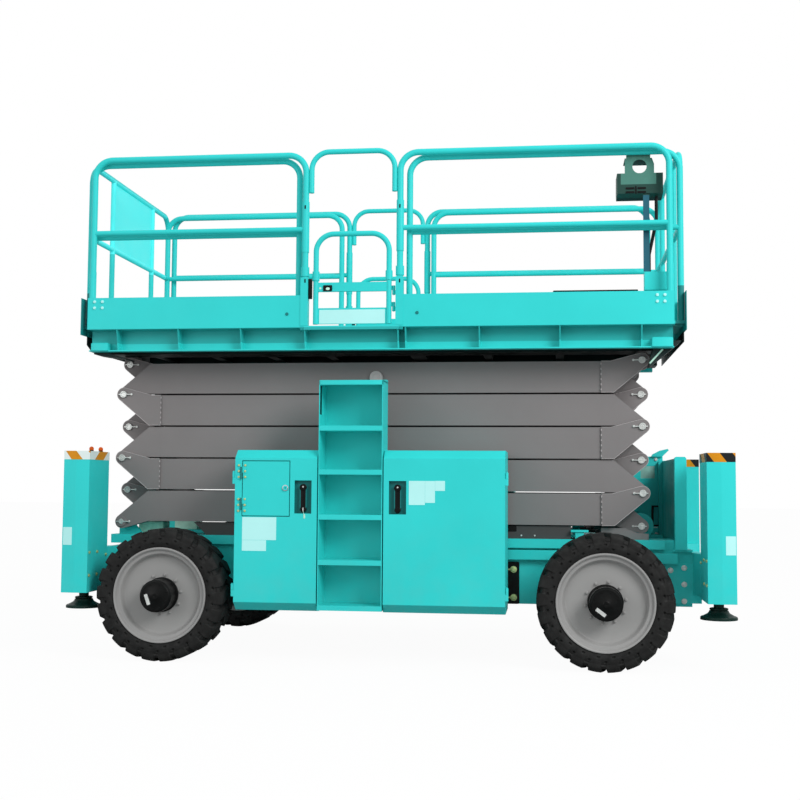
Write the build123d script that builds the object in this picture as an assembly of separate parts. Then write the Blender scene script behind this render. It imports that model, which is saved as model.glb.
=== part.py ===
from build123d import *
import os
from math import acos, atan2, cos, hypot, pi, radians, sin, sqrt

os.makedirs("parts", exist_ok=True)

# Scissor lift with two roll-out decks, four-wheel drive, front steering and four corner outriggers.
# Millimetres, +X towards the steered end, +Z up, origin on the ground below the middle of the machine.
# "Near" is the -Y side and "far" is the +Y side; each side piece is made near and mirrored for far.

# Wheels
TYRE_R = 427.5
TYRE_W = 300.0
RIM_SEAT_R = 302.0
TYRE_FACE_Y = 1140.0
REAR_WHEEL_X = -1488.0
FRONT_WHEEL_X = 1364.0
LUG_COUNT = 22
LUG_DEPTH = 20.0
HUB_R = 100.0
HUB_OUT = 92.0
SPINDLE_R = 45.0
STUD_COUNT = 10
STUD_CIRCLE_R = 130.0

# Scissor stack
LEVELS = 5
PIN_LEFT_X = -1944.0
PIN_RIGHT_X = 1633.0
PIN_ROW_Z = 883.0
PITCH = 221.7
ROW_GAP = 6.0
ARM_W = 90.0
END_NARROW = 1.5
CHEEK_T = 12.0
OUTER_Y = 555.0
ARM_SPACING = 125.0
LUG_R = 47.0
END_SLOPE = 186.0
END_LENGTH = 270.0
CHEEK_FOOT = 205.0
HEEL_FOOT = 190.0
TUBE_CUT = 75.0
END_PIN_R = 25.0
PIN_HEAD_R = 33.0
PIN_HEAD_T = 8.0
CENTRE_PIN_R = 32.0
CENTRE_HEAD_R = 43.0
CENTRE_HEAD_T = 20.0
CROSS_TUBE_R = 38.0
BRACE_R = 32.0
BRACE_U = 330.0
PIN_FIT = 0.05
SIDE_PLAY = 1.0
ROLLER_PLAY = 0.5

# Chassis
CHASSIS_HALF = 1950.0
CHASSIS_TOP = 796.0
LEDGE_Z = 736.0
LEDGE_Y = 620.0
WEB_Y = 572.0
WEB_BOTTOM = 362.0
WEB_T = 12.0
INNER_WEB_Y = 300.0
LEDGE_REAR = -2010.0
LIP_END = 1772.0
LIP_BEAM_END = 1853.0
LIP_BEAM_Z = (644.0, 712.0)
STEP_X = 1838.0
AXLE_ARCH_HALF = 230.0
AXLE_ARCH_TOP = 610.0

# Axles and steering
KINGPIN_Y = 690.0
KINGPIN_R = 30.0
AXLE_HALF_W = 75.0
AXLE_HALF_H = 70.0
STEER_ARM = 150.0
JAW_T = 26.0
JAW_GAP = 150.0

# Side cabinets and ladders
CAB_FACE_Y = 1120.0
CAB_BACK_Y = 650.0
CAB_DEPTH_DOOR = 65.0
DOOR_GAP = 5.0
DOOR_SWING_GAP = 8.0
CAB_BOTTOM = 338.0
CAB_TOP = 1370.0
CAB_CHAMFER_TOP = 54.0
CAB_CHAMFER_BOTTOM = 54.0
SHEET = 5.0
REAR_CAB = (-1000.0, -452.0)
FRONT_CAB = (-37.0, 744.0)
LOCK_INSET = 35.0
LOCK_W = 111.0
LADDER_BOTTOM = 356.0
LADDER_TOP = 1838.0
TREAD_Z = (364.0, 652.0, 941.0, 1229.0, 1511.0)
TREAD_DEPTH = 240.0
TREAD_T = 32.0

HATCH_X = (-953.0, -636.0)
HATCH_Z = (941.0, 1301.0)
HATCH_GAP = 5.0
HATCH_PIN_OUT = 6.0

# Steered end box
END_BOX_HALF = 635.0
END_POST_X = (STEP_X, STEP_X + 76.0)
END_POST_D = 60.0
END_POST_TOP = 1346.0
END_POST_BEVEL = 10.0
END_PLATE_X = 1869.0
END_CHEEK_X = 1640.0
END_CHEEK_TOP = 1378.0
END_CHEEK_BOTTOM = 840.0
END_WINDOW = (1708.0, 1813.0, 1212.0, 1306.0)
END_PAN = (1786.0, 1862.0, 850.0, 1006.0)
END_PAN_D = 35.0

# Outriggers
OUTRIGGER_X = 2159.0
OUTRIGGER_W = 175.0
OUTRIGGER_FOLD = 6.0
OUTRIGGER_WALL = 8.0
OUTRIGGER_FACE_Y = 1120.0
OUTRIGGER_DEPTH = 360.0
OUTRIGGER_BOTTOM = 432.0
OUTRIGGER_TOP = 1310.0
CAP_H = 35.0
LEG_SIDE = 110.0
LEG_TRAVEL = 450.0
FOOT_R = 115.0
FOOT_BOTTOM = 322.0
FOOT_STEM_R = 32.0

# Platform
DECK_LEFT = -2103.0
DECK_RIGHT = 1818.0
DECK_HALF_Y = 915.0
DECK_BOTTOM = 2053.0
DECK_TOP = 2195.0
TOE_TOP = 2407.0
TOE_T = 5.0
RAIL_R = 21.0
RAIL_INSET = 28.0
RAIL_Y = DECK_HALF_Y - RAIL_INSET
RAIL_TOP = 3365.0
RAIL_MID = 2857.0
RAIL_BEND = 120.0
REAR_POST_X = -602.0
FRONT_POST_X = 38.0
SOCKET_W = 50.0
SOCKET_TOP = 2527.0
COLLAR_R = 28.0
COLLAR_Z = (2537.0, 2599.0)
SLEEVE_R = 25.0
SLEEVE_Z = (2700.0, 3042.0)
CORNER_SLEEVE_TOP = 2590.0
CORNER_SLEEVE_R = RAIL_INSET - TOE_T - PIN_FIT
RIB_X = (-1899.0, -1471.0, -1039.0, -601.0, 25.0, 75.0, 562.0, 1086.0, 1609.0)
RIB_T = 8.0
SIDE_DEPTH = 105.0
FLANGE_IN = 39.0
FLANGE_T = 8.0
SILL_H = 20.0
ARCH_R = 18.0
ARCH_TOP = 3383.0
ARCH_STUB = 3105.0

# Roll-out decks
EXT_RAIL_INSET = 83.0
EXT_RAIL_Y = DECK_HALF_Y - EXT_RAIL_INSET
EXT_RAIL_TOP = 3342.0
EXT_RAIL_MID = 2836.0
EXT_REAR_END = -2121.0
EXT_FRONT_END = 1868.0
EXT_REAR_TOE = -2151.0
EXT_FRONT_TOE = 1891.0
EXT_REAR_POST = -656.0
EXT_FRONT_POST = 96.0
EXT_PLATE_T = 25.0
EXT_FLOOR_INSET = 57.0
EXT_HALF_Y = DECK_HALF_Y - EXT_FLOOR_INSET
SKID_Y = (-800.0, -270.0, 270.0, 800.0)
END_PANEL_HALF = 430.0
END_PANEL_T = 4.0
END_STILE_R = 19.0
DECK_PLAY = 0.5

# Platform control box
BOX_X = 1466.0
BOX_W = 297.0
BOX_DEPTH = 170.0
BOX_TOP = 3205.0
BOX_BOTTOM = 3060.0
BOX_HOLE_R = 46.0
COVER_X = 1640.0
COVER_W = 150.0
COVER_H = 120.0
COVER_TOP = 2550.0
CABLE_R = 11.0

# Gate
GATE_INSET = 25.0
GATE_Y = DECK_HALF_Y - GATE_INSET
GATE_TUBE_R = 18.0
GATE_STILE_LEFT = -527.0
GATE_STILE_RIGHT = -34.0
GATE_TOP = 2822.0
GATE_BAR_Z = (2432.0, 2493.0)
GATE_PLATE_Z = (2214.0, 2322.0)
GATE_HINGE_X = -3.0
GATE_HINGE_Z = (2330.0, 2440.0)
GATE_COLLAR_Z = (2506.0, 2568.0)
HINGE_PIN_R = 6.0

# Lift cylinders, one between inner frames 1 and 2 and one between inner frames 3 and 4
CYL_BASE = 2900.0
CYL_EYE = 600.0
BARREL_R = 58.0
BARREL_BORE_R = 46.0
ROD_R = 34.0
BARREL_MOUTH = 300.0
CYL_PIN_R = 30.0
CYL_EYE_W = 70.0

SPAN = PIN_RIGHT_X - PIN_LEFT_X
INNER_Y = OUTER_Y - ARM_SPACING
HALF_W = ARM_W / 2
TRACK_Y = INNER_Y - HALF_W


def block(x0, x1, y0, y1, z0, z1):
    """Box between two corners."""
    return Pos((x0 + x1) / 2, (y0 + y1) / 2, (z0 + z1) / 2) * Box(x1 - x0, y1 - y0, z1 - z0)


def disc_y(x, z, y0, y1, r):
    """Cylinder along Y from y0 to y1."""
    return Pos(x, (y0 + y1) / 2, z) * Rot(90, 0, 0) * Cylinder(r, abs(y1 - y0))


def disc_z(x, y, z0, z1, r):
    """Cylinder along Z from z0 to z1."""
    return Pos(x, y, (z0 + z1) / 2) * Cylinder(r, z1 - z0)


def rod(a, b, r):
    """Cylinder from point a to point b."""
    return Solid.extrude(Face(Wire([Edge.make_circle(r, Plane(a, z_dir=Vector(*b) - Vector(*a)))])),
                         Vector(*b) - Vector(*a))


def plate_y(points, y0, y1):
    """Outline in the XZ plane, extruded from y0 to y1."""
    face = make_face(Polyline([(x, y0, z) for x, z in points], close=True))
    return extrude(face, y1 - y0, dir=(0, 1, 0))


def plate_x(points, x0, x1):
    """Outline in the YZ plane, extruded from x0 to x1."""
    face = make_face(Polyline([(x0, y, z) for y, z in points], close=True))
    return extrude(face, x1 - x0, dir=(1, 0, 0))


def plate_z(points, z0, z1):
    """Outline in the XY plane, extruded from z0 to z1."""
    face = make_face(Polyline([(x, y, z0) for x, y in points], close=True))
    return extrude(face, z1 - z0, dir=(0, 0, 1))


def bent_tube(points, bend, r):
    """Round bar along straight runs with filleted corners."""
    path = FilletPolyline(*points, radius=bend)
    start = path @ 0
    section = Plane(start, z_dir=path % 0) * Circle(r)
    return sweep(section, path)


def mirrored(shape):
    """The far-side twin of a near-side shape."""
    return mirror(shape, about=Plane.XZ)


def both(shape):
    """A near-side shape and its far-side twin."""
    return [shape, mirrored(shape)]


def join(first, *rest):
    """One shape out of many."""
    result = first
    for piece in rest:
        result = result + piece
    return result


def keep(node, *shapes):
    """Write one sub-part."""
    solids = []
    for shape in shapes:
        solids.extend(shape.solids())
    export_step(Compound(solids) if len(solids) > 1 else solids[0], f"parts/{node}.step")


def tangent_point(px, pz, cx, cz, r, side):
    """Where a line from (px, pz) touches a circle round (cx, cz), on the side given by +1 or -1."""
    reach = hypot(px - cx, pz - cz)
    angle = atan2(pz - cz, px - cx) + side * acos(r / reach)
    return (cx + r * cos(angle), cz + r * sin(angle))


class Arm:
    """Local frame of one scissor arm: u runs from the bottom pin towards the top pin, v is up."""

    def __init__(self, level, bottom_left):
        self.sign = 1 if bottom_left else -1
        self.x0 = PIN_LEFT_X if bottom_left else PIN_RIGHT_X
        self.z0 = PIN_ROW_Z + (level - 1) * PITCH

    def at(self, u, v):
        return (self.x0 + self.sign * u, self.z0 + v)

    def outline(self, points):
        return [self.at(u, v) for u, v in points]


def arm_solid(arm, yc, heeled=False):
    """One box arm: narrower pointed bottom end with its lug, full tube, and a clevis at the top end."""
    low = ROW_GAP
    high = PITCH - ROW_GAP
    tip = tangent_point(END_SLOPE, high, 0, 0, LUG_R, 1)
    narrow = HALF_W - END_NARROW
    under = [(LUG_R, low), (LUG_R, 0)]
    if heeled:
        under = [(HEEL_FOOT, low), tangent_point(HEEL_FOOT, low, 0, 0, LUG_R, -1)]
    bottom_end = plate_y(arm.outline([(0, 0), tip, (END_SLOPE, high), (END_LENGTH, high), (END_LENGTH, low)] + under),
                         yc - narrow, yc + narrow)
    lug = disc_y(*arm.at(0, 0), yc - narrow, yc + narrow, LUG_R)
    top_tip = tangent_point(SPAN - END_SLOPE, low, SPAN, PITCH, LUG_R, 1)
    slope = (top_tip[1] - low) / (top_tip[0] - (SPAN - END_SLOPE))
    cut_v = low + slope * (END_SLOPE - TUBE_CUT)
    tube = plate_y(arm.outline([(END_LENGTH, low), (SPAN - END_SLOPE, low), (SPAN - TUBE_CUT, cut_v),
                                (SPAN - TUBE_CUT, high), (END_LENGTH, high)]),
                   yc - HALF_W, yc + HALF_W)
    heel = tangent_point(SPAN - CHEEK_FOOT, high, SPAN, PITCH, LUG_R, -1)
    cheek_line = arm.outline([(SPAN - END_LENGTH, low), (SPAN - END_SLOPE, low), top_tip, (SPAN, PITCH),
                              heel, (SPAN - CHEEK_FOOT, high), (SPAN - END_LENGTH, high)])
    body = join(bottom_end, lug, tube)
    for side in (-1, 1):
        face = yc + side * HALF_W
        outside = face + side * CHEEK_T
        body = join(body, plate_y(cheek_line, min(face, outside), max(face, outside)),
                    disc_y(*arm.at(SPAN, PITCH), face, outside, LUG_R))
    body = body - disc_y(*arm.at(0, 0), yc - HALF_W, yc + HALF_W, END_PIN_R + PIN_FIT)
    return body


def top_pin(arm, yc):
    """Pin through the clevis, with a flat head outside the outer cheek."""
    side = 1 if yc > 0 else -1
    inner = yc - side * (HALF_W + CHEEK_T)
    outer = yc + side * (HALF_W + CHEEK_T + PIN_HEAD_T)
    return disc_y(*arm.at(SPAN, PITCH), inner, outer, END_PIN_R)


def outer_frame(level):
    """Outer arm pair with the full-width cross tube at its top pins and the centre pins."""
    arm = Arm(level, level % 2 == 1)
    pieces = []
    for side in (-1, 1):
        yc = side * OUTER_Y
        centre = arm.at(SPAN / 2, PITCH / 2)
        face = yc + side * HALF_W
        inner_face = yc - side * HALF_W
        end = side * (INNER_Y - HALF_W - SIDE_PLAY)
        cap_end = end - side * 10
        pieces += [arm_solid(arm, yc, level == 1), top_pin(arm, yc),
                   disc_y(*centre, face, face + side * CENTRE_HEAD_T, CENTRE_HEAD_R),
                   disc_y(*centre, inner_face, side * (INNER_Y + HALF_W + SIDE_PLAY), 55),
                   disc_y(*centre, inner_face, cap_end, CENTRE_PIN_R),
                   disc_y(*centre, end, cap_end, 46)]
    tube_y = OUTER_Y - HALF_W - CHEEK_T
    pieces.append(disc_y(*arm.at(SPAN, PITCH), -tube_y, tube_y, CROSS_TUBE_R))
    frame = join(*pieces)
    if level == LEVELS:
        for side in (-1, 1):
            roller_r = DECK_BOTTOM - (PIN_ROW_Z + LEVELS * PITCH) - ROLLER_PLAY
            frame = join(frame, disc_y(*arm.at(SPAN, PITCH), side * (OUTER_Y - HALF_W + 4),
                                       side * (OUTER_Y + HALF_W - 4), roller_r))
    return frame


def inner_frame(level):
    """Inner arm pair with its cross tubes, and the beam that carries a lift cylinder's pin."""
    arm = Arm(level, level % 2 == 0)
    tube_y = INNER_Y - HALF_W
    pin_y = tube_y - CHEEK_T
    pieces = []
    for side in (-1, 1):
        yc = side * INNER_Y
        pieces += [arm_solid(arm, yc, level == 1), top_pin(arm, yc)]
    pieces += [disc_y(*arm.at(SPAN, PITCH), -pin_y, pin_y, CROSS_TUBE_R),
               disc_y(*arm.at(BRACE_U, PITCH / 2), -tube_y, tube_y, BRACE_R)]
    frame = join(*pieces)
    centre = arm.at(SPAN / 2, PITCH / 2)
    frame = frame - disc_y(*centre, -(INNER_Y + HALF_W), INNER_Y + HALF_W, CENTRE_PIN_R + PIN_FIT)
    if level == 1:
        roller_r = PIN_ROW_Z - CHASSIS_TOP - ROLLER_PLAY
        for side in (-1, 1):
            outer = side * (TRACK_Y + END_NARROW)
            frame = join(frame, disc_y(*arm.at(0, 0), outer, side * (TRACK_Y - 60), roller_r),
                         disc_y(*arm.at(0, 0), side * (INNER_Y + HALF_W - END_NARROW), outer, END_PIN_R + 1))
    if level in (1, 3):
        frame = join(frame, *cylinder_ears(*cylinder_base(level), tube_y),
                     disc_y(*cylinder_base(level), -tube_y, tube_y, CYL_PIN_R))
    if level in (2, 4):
        frame = join(frame, *cylinder_ears(*cylinder_eye(level - 1), tube_y))
    return frame


def cylinder_base(level):
    """Pin of the barrel, measured from the left pins along the lower inner frame."""
    return (PIN_LEFT_X + CYL_BASE, PIN_ROW_Z + (level - 0.5) * PITCH)


def cylinder_eye(level):
    """Pin of the rod's eye, measured from the left pins along the upper inner frame."""
    return (PIN_LEFT_X + CYL_EYE, PIN_ROW_Z + (level + 0.5) * PITCH)


def cylinder_ears(x, z, tube_y):
    """Two stub beams whose ends stand one on each side of a cylinder's eye."""
    gap = CYL_EYE_W / 2 + SIDE_PLAY
    return [disc_y(x, z, side * gap, side * tube_y, CYL_PIN_R + 18) for side in (-1, 1)]


def cylinder_parts(level):
    """Barrel and rod of one lift cylinder at its folded length; the rod's eye holds the middle of its pin."""
    ax, az = cylinder_base(level)
    bx, bz = cylinder_eye(level)
    length = hypot(bx - ax, bz - az)
    dx = (bx - ax) / length
    dz = (bz - az) / length

    def along(s):
        return (ax + dx * s, 0, az + dz * s)

    mouth = length - BARREL_MOUTH
    half = CYL_EYE_W / 2
    shell = join(rod(along(62), along(mouth), BARREL_R), rod(along(mouth - 70), along(mouth), BARREL_R + 8),
                 rod(along(30), along(70), CYL_EYE_W / 2), disc_y(ax, az, -half, half, BARREL_R - 4))
    bore = rod(along(110), along(mouth + 10), BARREL_BORE_R)
    gland = rod(along(mouth - 60), along(mouth), BARREL_BORE_R + 1)
    barrel = join(shell - bore, gland - rod(along(mouth - 70), along(mouth + 10), ROD_R + PIN_FIT))
    barrel = barrel - disc_y(ax, az, -half, half, CYL_PIN_R + PIN_FIT)
    stem = join(rod(along(150), along(length - 40), ROD_R), disc_y(bx, bz, -half, half, BARREL_R - 6),
                rod(along(130), along(190), BARREL_BORE_R - PIN_FIT))
    return barrel, stem


def chassis_frame():
    """Ledge channels stepped down at the steered end, side webs, cross members and the arms' hinge brackets."""
    half = CHASSIS_HALF
    web = plate_y([(-half, WEB_BOTTOM), (REAR_WHEEL_X - AXLE_ARCH_HALF, WEB_BOTTOM),
                   (REAR_WHEEL_X - AXLE_ARCH_HALF + 60, AXLE_ARCH_TOP),
                   (REAR_WHEEL_X + AXLE_ARCH_HALF - 60, AXLE_ARCH_TOP),
                   (REAR_WHEEL_X + AXLE_ARCH_HALF, WEB_BOTTOM), (FRONT_WHEEL_X - AXLE_ARCH_HALF - 90, WEB_BOTTOM),
                   (FRONT_WHEEL_X - AXLE_ARCH_HALF - 30, AXLE_ARCH_TOP),
                   (FRONT_WHEEL_X + AXLE_ARCH_HALF - 60, AXLE_ARCH_TOP),
                   (FRONT_WHEEL_X + AXLE_ARCH_HALF, WEB_BOTTOM), (half, WEB_BOTTOM),
                   (half, LEDGE_Z), (-half, LEDGE_Z)], -WEB_Y, -WEB_Y + WEB_T)
    ledge = block(LEDGE_REAR, STEP_X, -LEDGE_Y, -INNER_WEB_Y, LEDGE_Z, CHASSIS_TOP)
    ledge = ledge - block(PIN_LEFT_X, STEP_X, -WEB_Y + WEB_T, -INNER_WEB_Y - WEB_T, LEDGE_Z, CHASSIS_TOP - WEB_T)
    ledge = ledge - block(LIP_END, STEP_X + 1, -LEDGE_Y - 1, -WEB_Y, LEDGE_Z - 1, CHASSIS_TOP + 1)
    ledge = join(ledge, block(STEP_X - WEB_T, half, -LEDGE_Y, -INNER_WEB_Y, LEDGE_Z - WEB_T, LEDGE_Z),
                 block(FRONT_WHEEL_X, LIP_BEAM_END, -LEDGE_Y, -WEB_Y, *LIP_BEAM_Z))
    inner_web = block(-half, half, -INNER_WEB_Y - WEB_T, -INNER_WEB_Y, AXLE_ARCH_TOP, LEDGE_Z)
    side = join(ledge, web, inner_web)
    y = -OUTER_Y + HALF_W + SIDE_PLAY
    head = -OUTER_Y - HALF_W - SIDE_PLAY
    side = join(side, plate_y([(PIN_LEFT_X - LUG_R, CHASSIS_TOP), (PIN_LEFT_X + 130, CHASSIS_TOP),
                               (PIN_LEFT_X + 50, PIN_ROW_Z), (PIN_LEFT_X - LUG_R, PIN_ROW_Z)], y, y + CHEEK_T),
                disc_y(PIN_LEFT_X, PIN_ROW_Z, y, y + CHEEK_T, LUG_R),
                disc_y(PIN_LEFT_X, PIN_ROW_Z, head, y + CHEEK_T, END_PIN_R),
                disc_y(PIN_LEFT_X, PIN_ROW_Z, head - PIN_HEAD_T, head, PIN_HEAD_R))
    frame = join(side, mirrored(side))
    for x, z0 in ((-half, WEB_BOTTOM), (-900, 480), (-100, 480), (800, 480), (half - WEB_T * 4, WEB_BOTTOM)):
        frame = join(frame, block(x, x + WEB_T * 4, -WEB_Y + WEB_T, WEB_Y - WEB_T, z0, LEDGE_Z))
    for x in (REAR_WHEEL_X, FRONT_WHEEL_X):
        frame = join(frame, block(x - 90, x + 90, -WEB_Y + WEB_T, WEB_Y - WEB_T, AXLE_ARCH_TOP, LEDGE_Z))
    return frame


def arm_rests():
    """Long bed beams below the folded arms."""
    y0 = -OUTER_Y - 30
    beam = plate_y([(-1429, CHASSIS_TOP + 87), (-1340, CHASSIS_TOP), (1162, CHASSIS_TOP), (1162, CHASSIS_TOP + 87)],
                   y0, y0 + 60)
    return both(beam)


def tyre_solid(x, side):
    """Deep-lugged tyre: a revolved carcass with staggered diagonal shoulder lugs."""
    y_in = TYRE_FACE_Y - TYRE_W
    base_r = TYRE_R - LUG_DEPTH
    profile = [(y_in + 26, RIM_SEAT_R), (y_in + 4, RIM_SEAT_R + 22), (y_in, RIM_SEAT_R + 60),
               (y_in + 8, base_r - 22), (y_in + 34, base_r),
               (TYRE_FACE_Y - 34, base_r), (TYRE_FACE_Y - 8, base_r - 22), (TYRE_FACE_Y, RIM_SEAT_R + 60),
               (TYRE_FACE_Y - 4, RIM_SEAT_R + 22), (TYRE_FACE_Y - 26, RIM_SEAT_R)]
    face = make_face(Polyline([(0, y, r) for y, r in profile], close=True))
    body = revolve(face, Axis.Y, 360)
    middle = TYRE_FACE_Y - TYRE_W / 2
    step = 360 / LUG_COUNT
    lean = 26
    for half, shift in ((-1, 0), (1, step / 2)):
        edge = middle + half * (TYRE_W / 2 - 10)
        root = middle + half * 12
        width = 2 * pi * base_r / LUG_COUNT * 0.30
        outline = [(-width - lean, root), (width - lean, root), (width + lean, edge), (-width + lean, edge)]
        lug = plate_z(outline, base_r - 14, TYRE_R + 4)
        for i in range(LUG_COUNT):
            body = body + Rot(0, i * step + shift, 0) * lug
    ring = disc_y(0, 0, y_in - 20, TYRE_FACE_Y + 20, TYRE_R) - disc_y(0, 0, y_in - 20, TYRE_FACE_Y + 20, 100)
    body = body & ring
    placed = Pos(x, 0, TYRE_R) * body
    return placed if side > 0 else mirrored(placed)


def rim_solid(x, side):
    """Dished rim with its stepped lip, disc, hub drum and stud ring."""
    y_in = TYRE_FACE_Y - TYRE_W
    lip = TYRE_FACE_Y - 4
    profile = [(lip, RIM_SEAT_R + 6), (lip, RIM_SEAT_R - 12), (lip - 20, RIM_SEAT_R - 24),
               (lip - 26, RIM_SEAT_R - 44), (lip - 60, RIM_SEAT_R - 56), (lip - 66, HUB_R),
               (lip - 66 - 22, HUB_R), (lip - 66 - 22, RIM_SEAT_R - 44), (y_in + 26, RIM_SEAT_R - 34),
               (y_in + 26, RIM_SEAT_R - PIN_FIT), (lip - 22, RIM_SEAT_R - PIN_FIT)]
    face = make_face(Polyline([(0, y, r) for y, r in profile], close=True))
    rim = revolve(face, Axis.Y, 360)
    disc_out = lip - 66
    drum = disc_y(0, 0, disc_out - 110, disc_out + HUB_OUT + 60, HUB_R)
    wheel = join(rim, drum)
    for i in range(STUD_COUNT):
        a = 2 * pi * i / STUD_COUNT
        wheel = join(wheel, disc_y(STUD_CIRCLE_R * cos(a), STUD_CIRCLE_R * sin(a), disc_out - 4, disc_out + 26, 10))
    wheel = wheel - disc_y(0, 0, disc_out - 120, disc_out - 10, SPINDLE_R + PIN_FIT)
    placed = Pos(x, 0, TYRE_R) * wheel
    return placed if side > 0 else mirrored(placed)


SPINDLE_END = TYRE_FACE_Y - 4 - 66 - 10 - 5
DRUM_IN = TYRE_FACE_Y - 4 - 66 - 110


def axle_beam(x, end_y):
    """Axle housing: a box beam with a round final-drive bulge in the middle."""
    beam = block(x - AXLE_HALF_W, x + AXLE_HALF_W, -end_y, end_y, TYRE_R - AXLE_HALF_H, TYRE_R + AXLE_HALF_H)
    bulge = disc_y(x, TYRE_R, -150, 150, 130)
    post = block(x - 60, x + 60, -110, 110, TYRE_R + AXLE_HALF_H, AXLE_ARCH_TOP)
    pads = [block(x - 60, x + 60, s * 430 - 50, s * 430 + 50, TYRE_R + AXLE_HALF_H, AXLE_ARCH_TOP) for s in (-1, 1)]
    return join(beam, bulge, post, *pads)


def rear_axle():
    axle = axle_beam(REAR_WHEEL_X, DRUM_IN - 40)
    spindle = disc_y(REAR_WHEEL_X, TYRE_R, -SPINDLE_END, SPINDLE_END, SPINDLE_R)
    flanges = [disc_y(REAR_WHEEL_X, TYRE_R, s * (DRUM_IN - 60), s * (DRUM_IN - 1), 88) for s in (-1, 1)]
    return join(axle, spindle, *flanges)


def front_axle():
    """Steering axle with a forked jaw at each end round the kingpin."""
    axle = axle_beam(FRONT_WHEEL_X, KINGPIN_Y - 110)
    for side in (-1, 1):
        for z in (JAW_GAP / 2, -JAW_GAP / 2 - JAW_T):
            jaw = join(block(FRONT_WHEEL_X - 62, FRONT_WHEEL_X + 62, min(side * 560, side * KINGPIN_Y),
                             max(side * 560, side * KINGPIN_Y), TYRE_R + z, TYRE_R + z + JAW_T),
                       disc_z(FRONT_WHEEL_X, side * KINGPIN_Y, TYRE_R + z, TYRE_R + z + JAW_T, 62))
            axle = join(axle, jaw)
        axle = join(axle, block(FRONT_WHEEL_X - 62, FRONT_WHEEL_X + 62, min(side * 560, side * 580),
                                max(side * 560, side * 580), TYRE_R - JAW_GAP / 2, TYRE_R + JAW_GAP / 2),
                    disc_z(FRONT_WHEEL_X, side * KINGPIN_Y, TYRE_R - JAW_GAP / 2 - JAW_T - 8,
                           TYRE_R + JAW_GAP / 2 + JAW_T + 8, KINGPIN_R))
    return axle


def knuckle(side):
    """Steering knuckle: kingpin boss, spindle and steering arm."""
    play = SIDE_PLAY
    body = join(disc_z(FRONT_WHEEL_X, KINGPIN_Y, TYRE_R - JAW_GAP / 2 + play, TYRE_R + JAW_GAP / 2 - play, 58),
                disc_y(FRONT_WHEEL_X, TYRE_R, KINGPIN_Y + 20, DRUM_IN - 1, 72),
                disc_y(FRONT_WHEEL_X, TYRE_R, KINGPIN_Y + 40, SPINDLE_END, SPINDLE_R),
                block(FRONT_WHEEL_X - STEER_ARM, FRONT_WHEEL_X, KINGPIN_Y - 25, KINGPIN_Y + 25,
                      TYRE_R + 20, TYRE_R + 45),
                disc_z(FRONT_WHEEL_X - STEER_ARM, KINGPIN_Y, TYRE_R + 20, TYRE_R + 45, 28))
    body = body - disc_z(FRONT_WHEEL_X, KINGPIN_Y, 0, 2 * TYRE_R, KINGPIN_R + PIN_FIT)
    return body if side > 0 else mirrored(body)


def tie_rod():
    """Track rod between the two steering arms, lying on top of their eyes."""
    z = TYRE_R + 45 + PIN_FIT
    x = FRONT_WHEEL_X - STEER_ARM
    bar = rod((x, -KINGPIN_Y, z + 18), (x, KINGPIN_Y, z + 18), 14)
    ends = [disc_z(x, s * KINGPIN_Y, z, z + 36, 24) for s in (-1, 1)]
    return join(bar, *ends)


def outrigger_housing(x_side):
    """Upright box whose front is folded along its middle, with a square leg guide and a foot to the chassis end."""
    x_out = OUTRIGGER_X
    x_in = OUTRIGGER_X - OUTRIGGER_W
    y_out = -OUTRIGGER_FACE_Y
    y_in = y_out + OUTRIGGER_DEPTH
    x_mid = (x_in + x_out) / 2
    t = OUTRIGGER_WALL
    outline = [(x_in, y_in), (x_in, y_out + OUTRIGGER_FOLD), (x_mid, y_out), (x_out, y_out + OUTRIGGER_FOLD),
               (x_out, y_in)]
    inner = [(x_in + t, y_in - t), (x_in + t, y_out + OUTRIGGER_FOLD + t), (x_mid, y_out + t),
             (x_out - t, y_out + OUTRIGGER_FOLD + t), (x_out - t, y_in - t)]
    shell = plate_z(outline, OUTRIGGER_BOTTOM, OUTRIGGER_TOP + CAP_H)
    shell = shell - plate_z(inner, OUTRIGGER_BOTTOM + 40, OUTRIGGER_TOP)
    xc, yc = leg_centre()
    guide = LEG_SIDE / 2 + DECK_PLAY
    shell = shell - block(xc - guide, xc + guide, yc - guide, yc + guide, OUTRIGGER_BOTTOM - 1,
                          OUTRIGGER_BOTTOM + 41)
    bracket = join(block(CHASSIS_HALF - 2 * WEB_T - 150, CHASSIS_HALF + 40, -WEB_Y - WEB_T, -WEB_Y, 385, LIP_BEAM_Z[0]),
                   block(CHASSIS_HALF, CHASSIS_HALF + 60, -WEB_Y - WEB_T, -WEB_Y + 200, 385, LEDGE_Z - 20),
                   plate_z([(x_in + 10, y_in), (x_out - 10, y_in), (CHASSIS_HALF + 60, -WEB_Y),
                            (CHASSIS_HALF + 2, -WEB_Y)], OUTRIGGER_BOTTOM + 10, LEDGE_Z - 20))
    housing = join(shell, bracket)
    return housing if x_side > 0 else mirror(housing, about=Plane.YZ)


def leg_centre():
    return (OUTRIGGER_X - OUTRIGGER_W / 2, -OUTRIGGER_FACE_Y + OUTRIGGER_DEPTH / 2 + 5)


def outrigger_leg(x_side, y_side):
    """Square sliding column with its foot stem and pad."""
    xc, yc = leg_centre()
    half = LEG_SIDE / 2
    stem_top = OUTRIGGER_BOTTOM + 10
    leg = join(block(xc - half, xc + half, yc - half, yc + half, stem_top, OUTRIGGER_TOP - 40),
               disc_z(xc, yc, FOOT_BOTTOM + 14, stem_top, FOOT_STEM_R),
               Pos(xc, yc, FOOT_BOTTOM + 14 + 22) * Cone(FOOT_R - 30, FOOT_STEM_R + 8, 44),
               disc_z(xc, yc, FOOT_BOTTOM, FOOT_BOTTOM + 14, FOOT_R))
    if x_side < 0:
        leg = mirror(leg, about=Plane.YZ)
    return leg if y_side < 0 else mirrored(leg)


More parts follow.
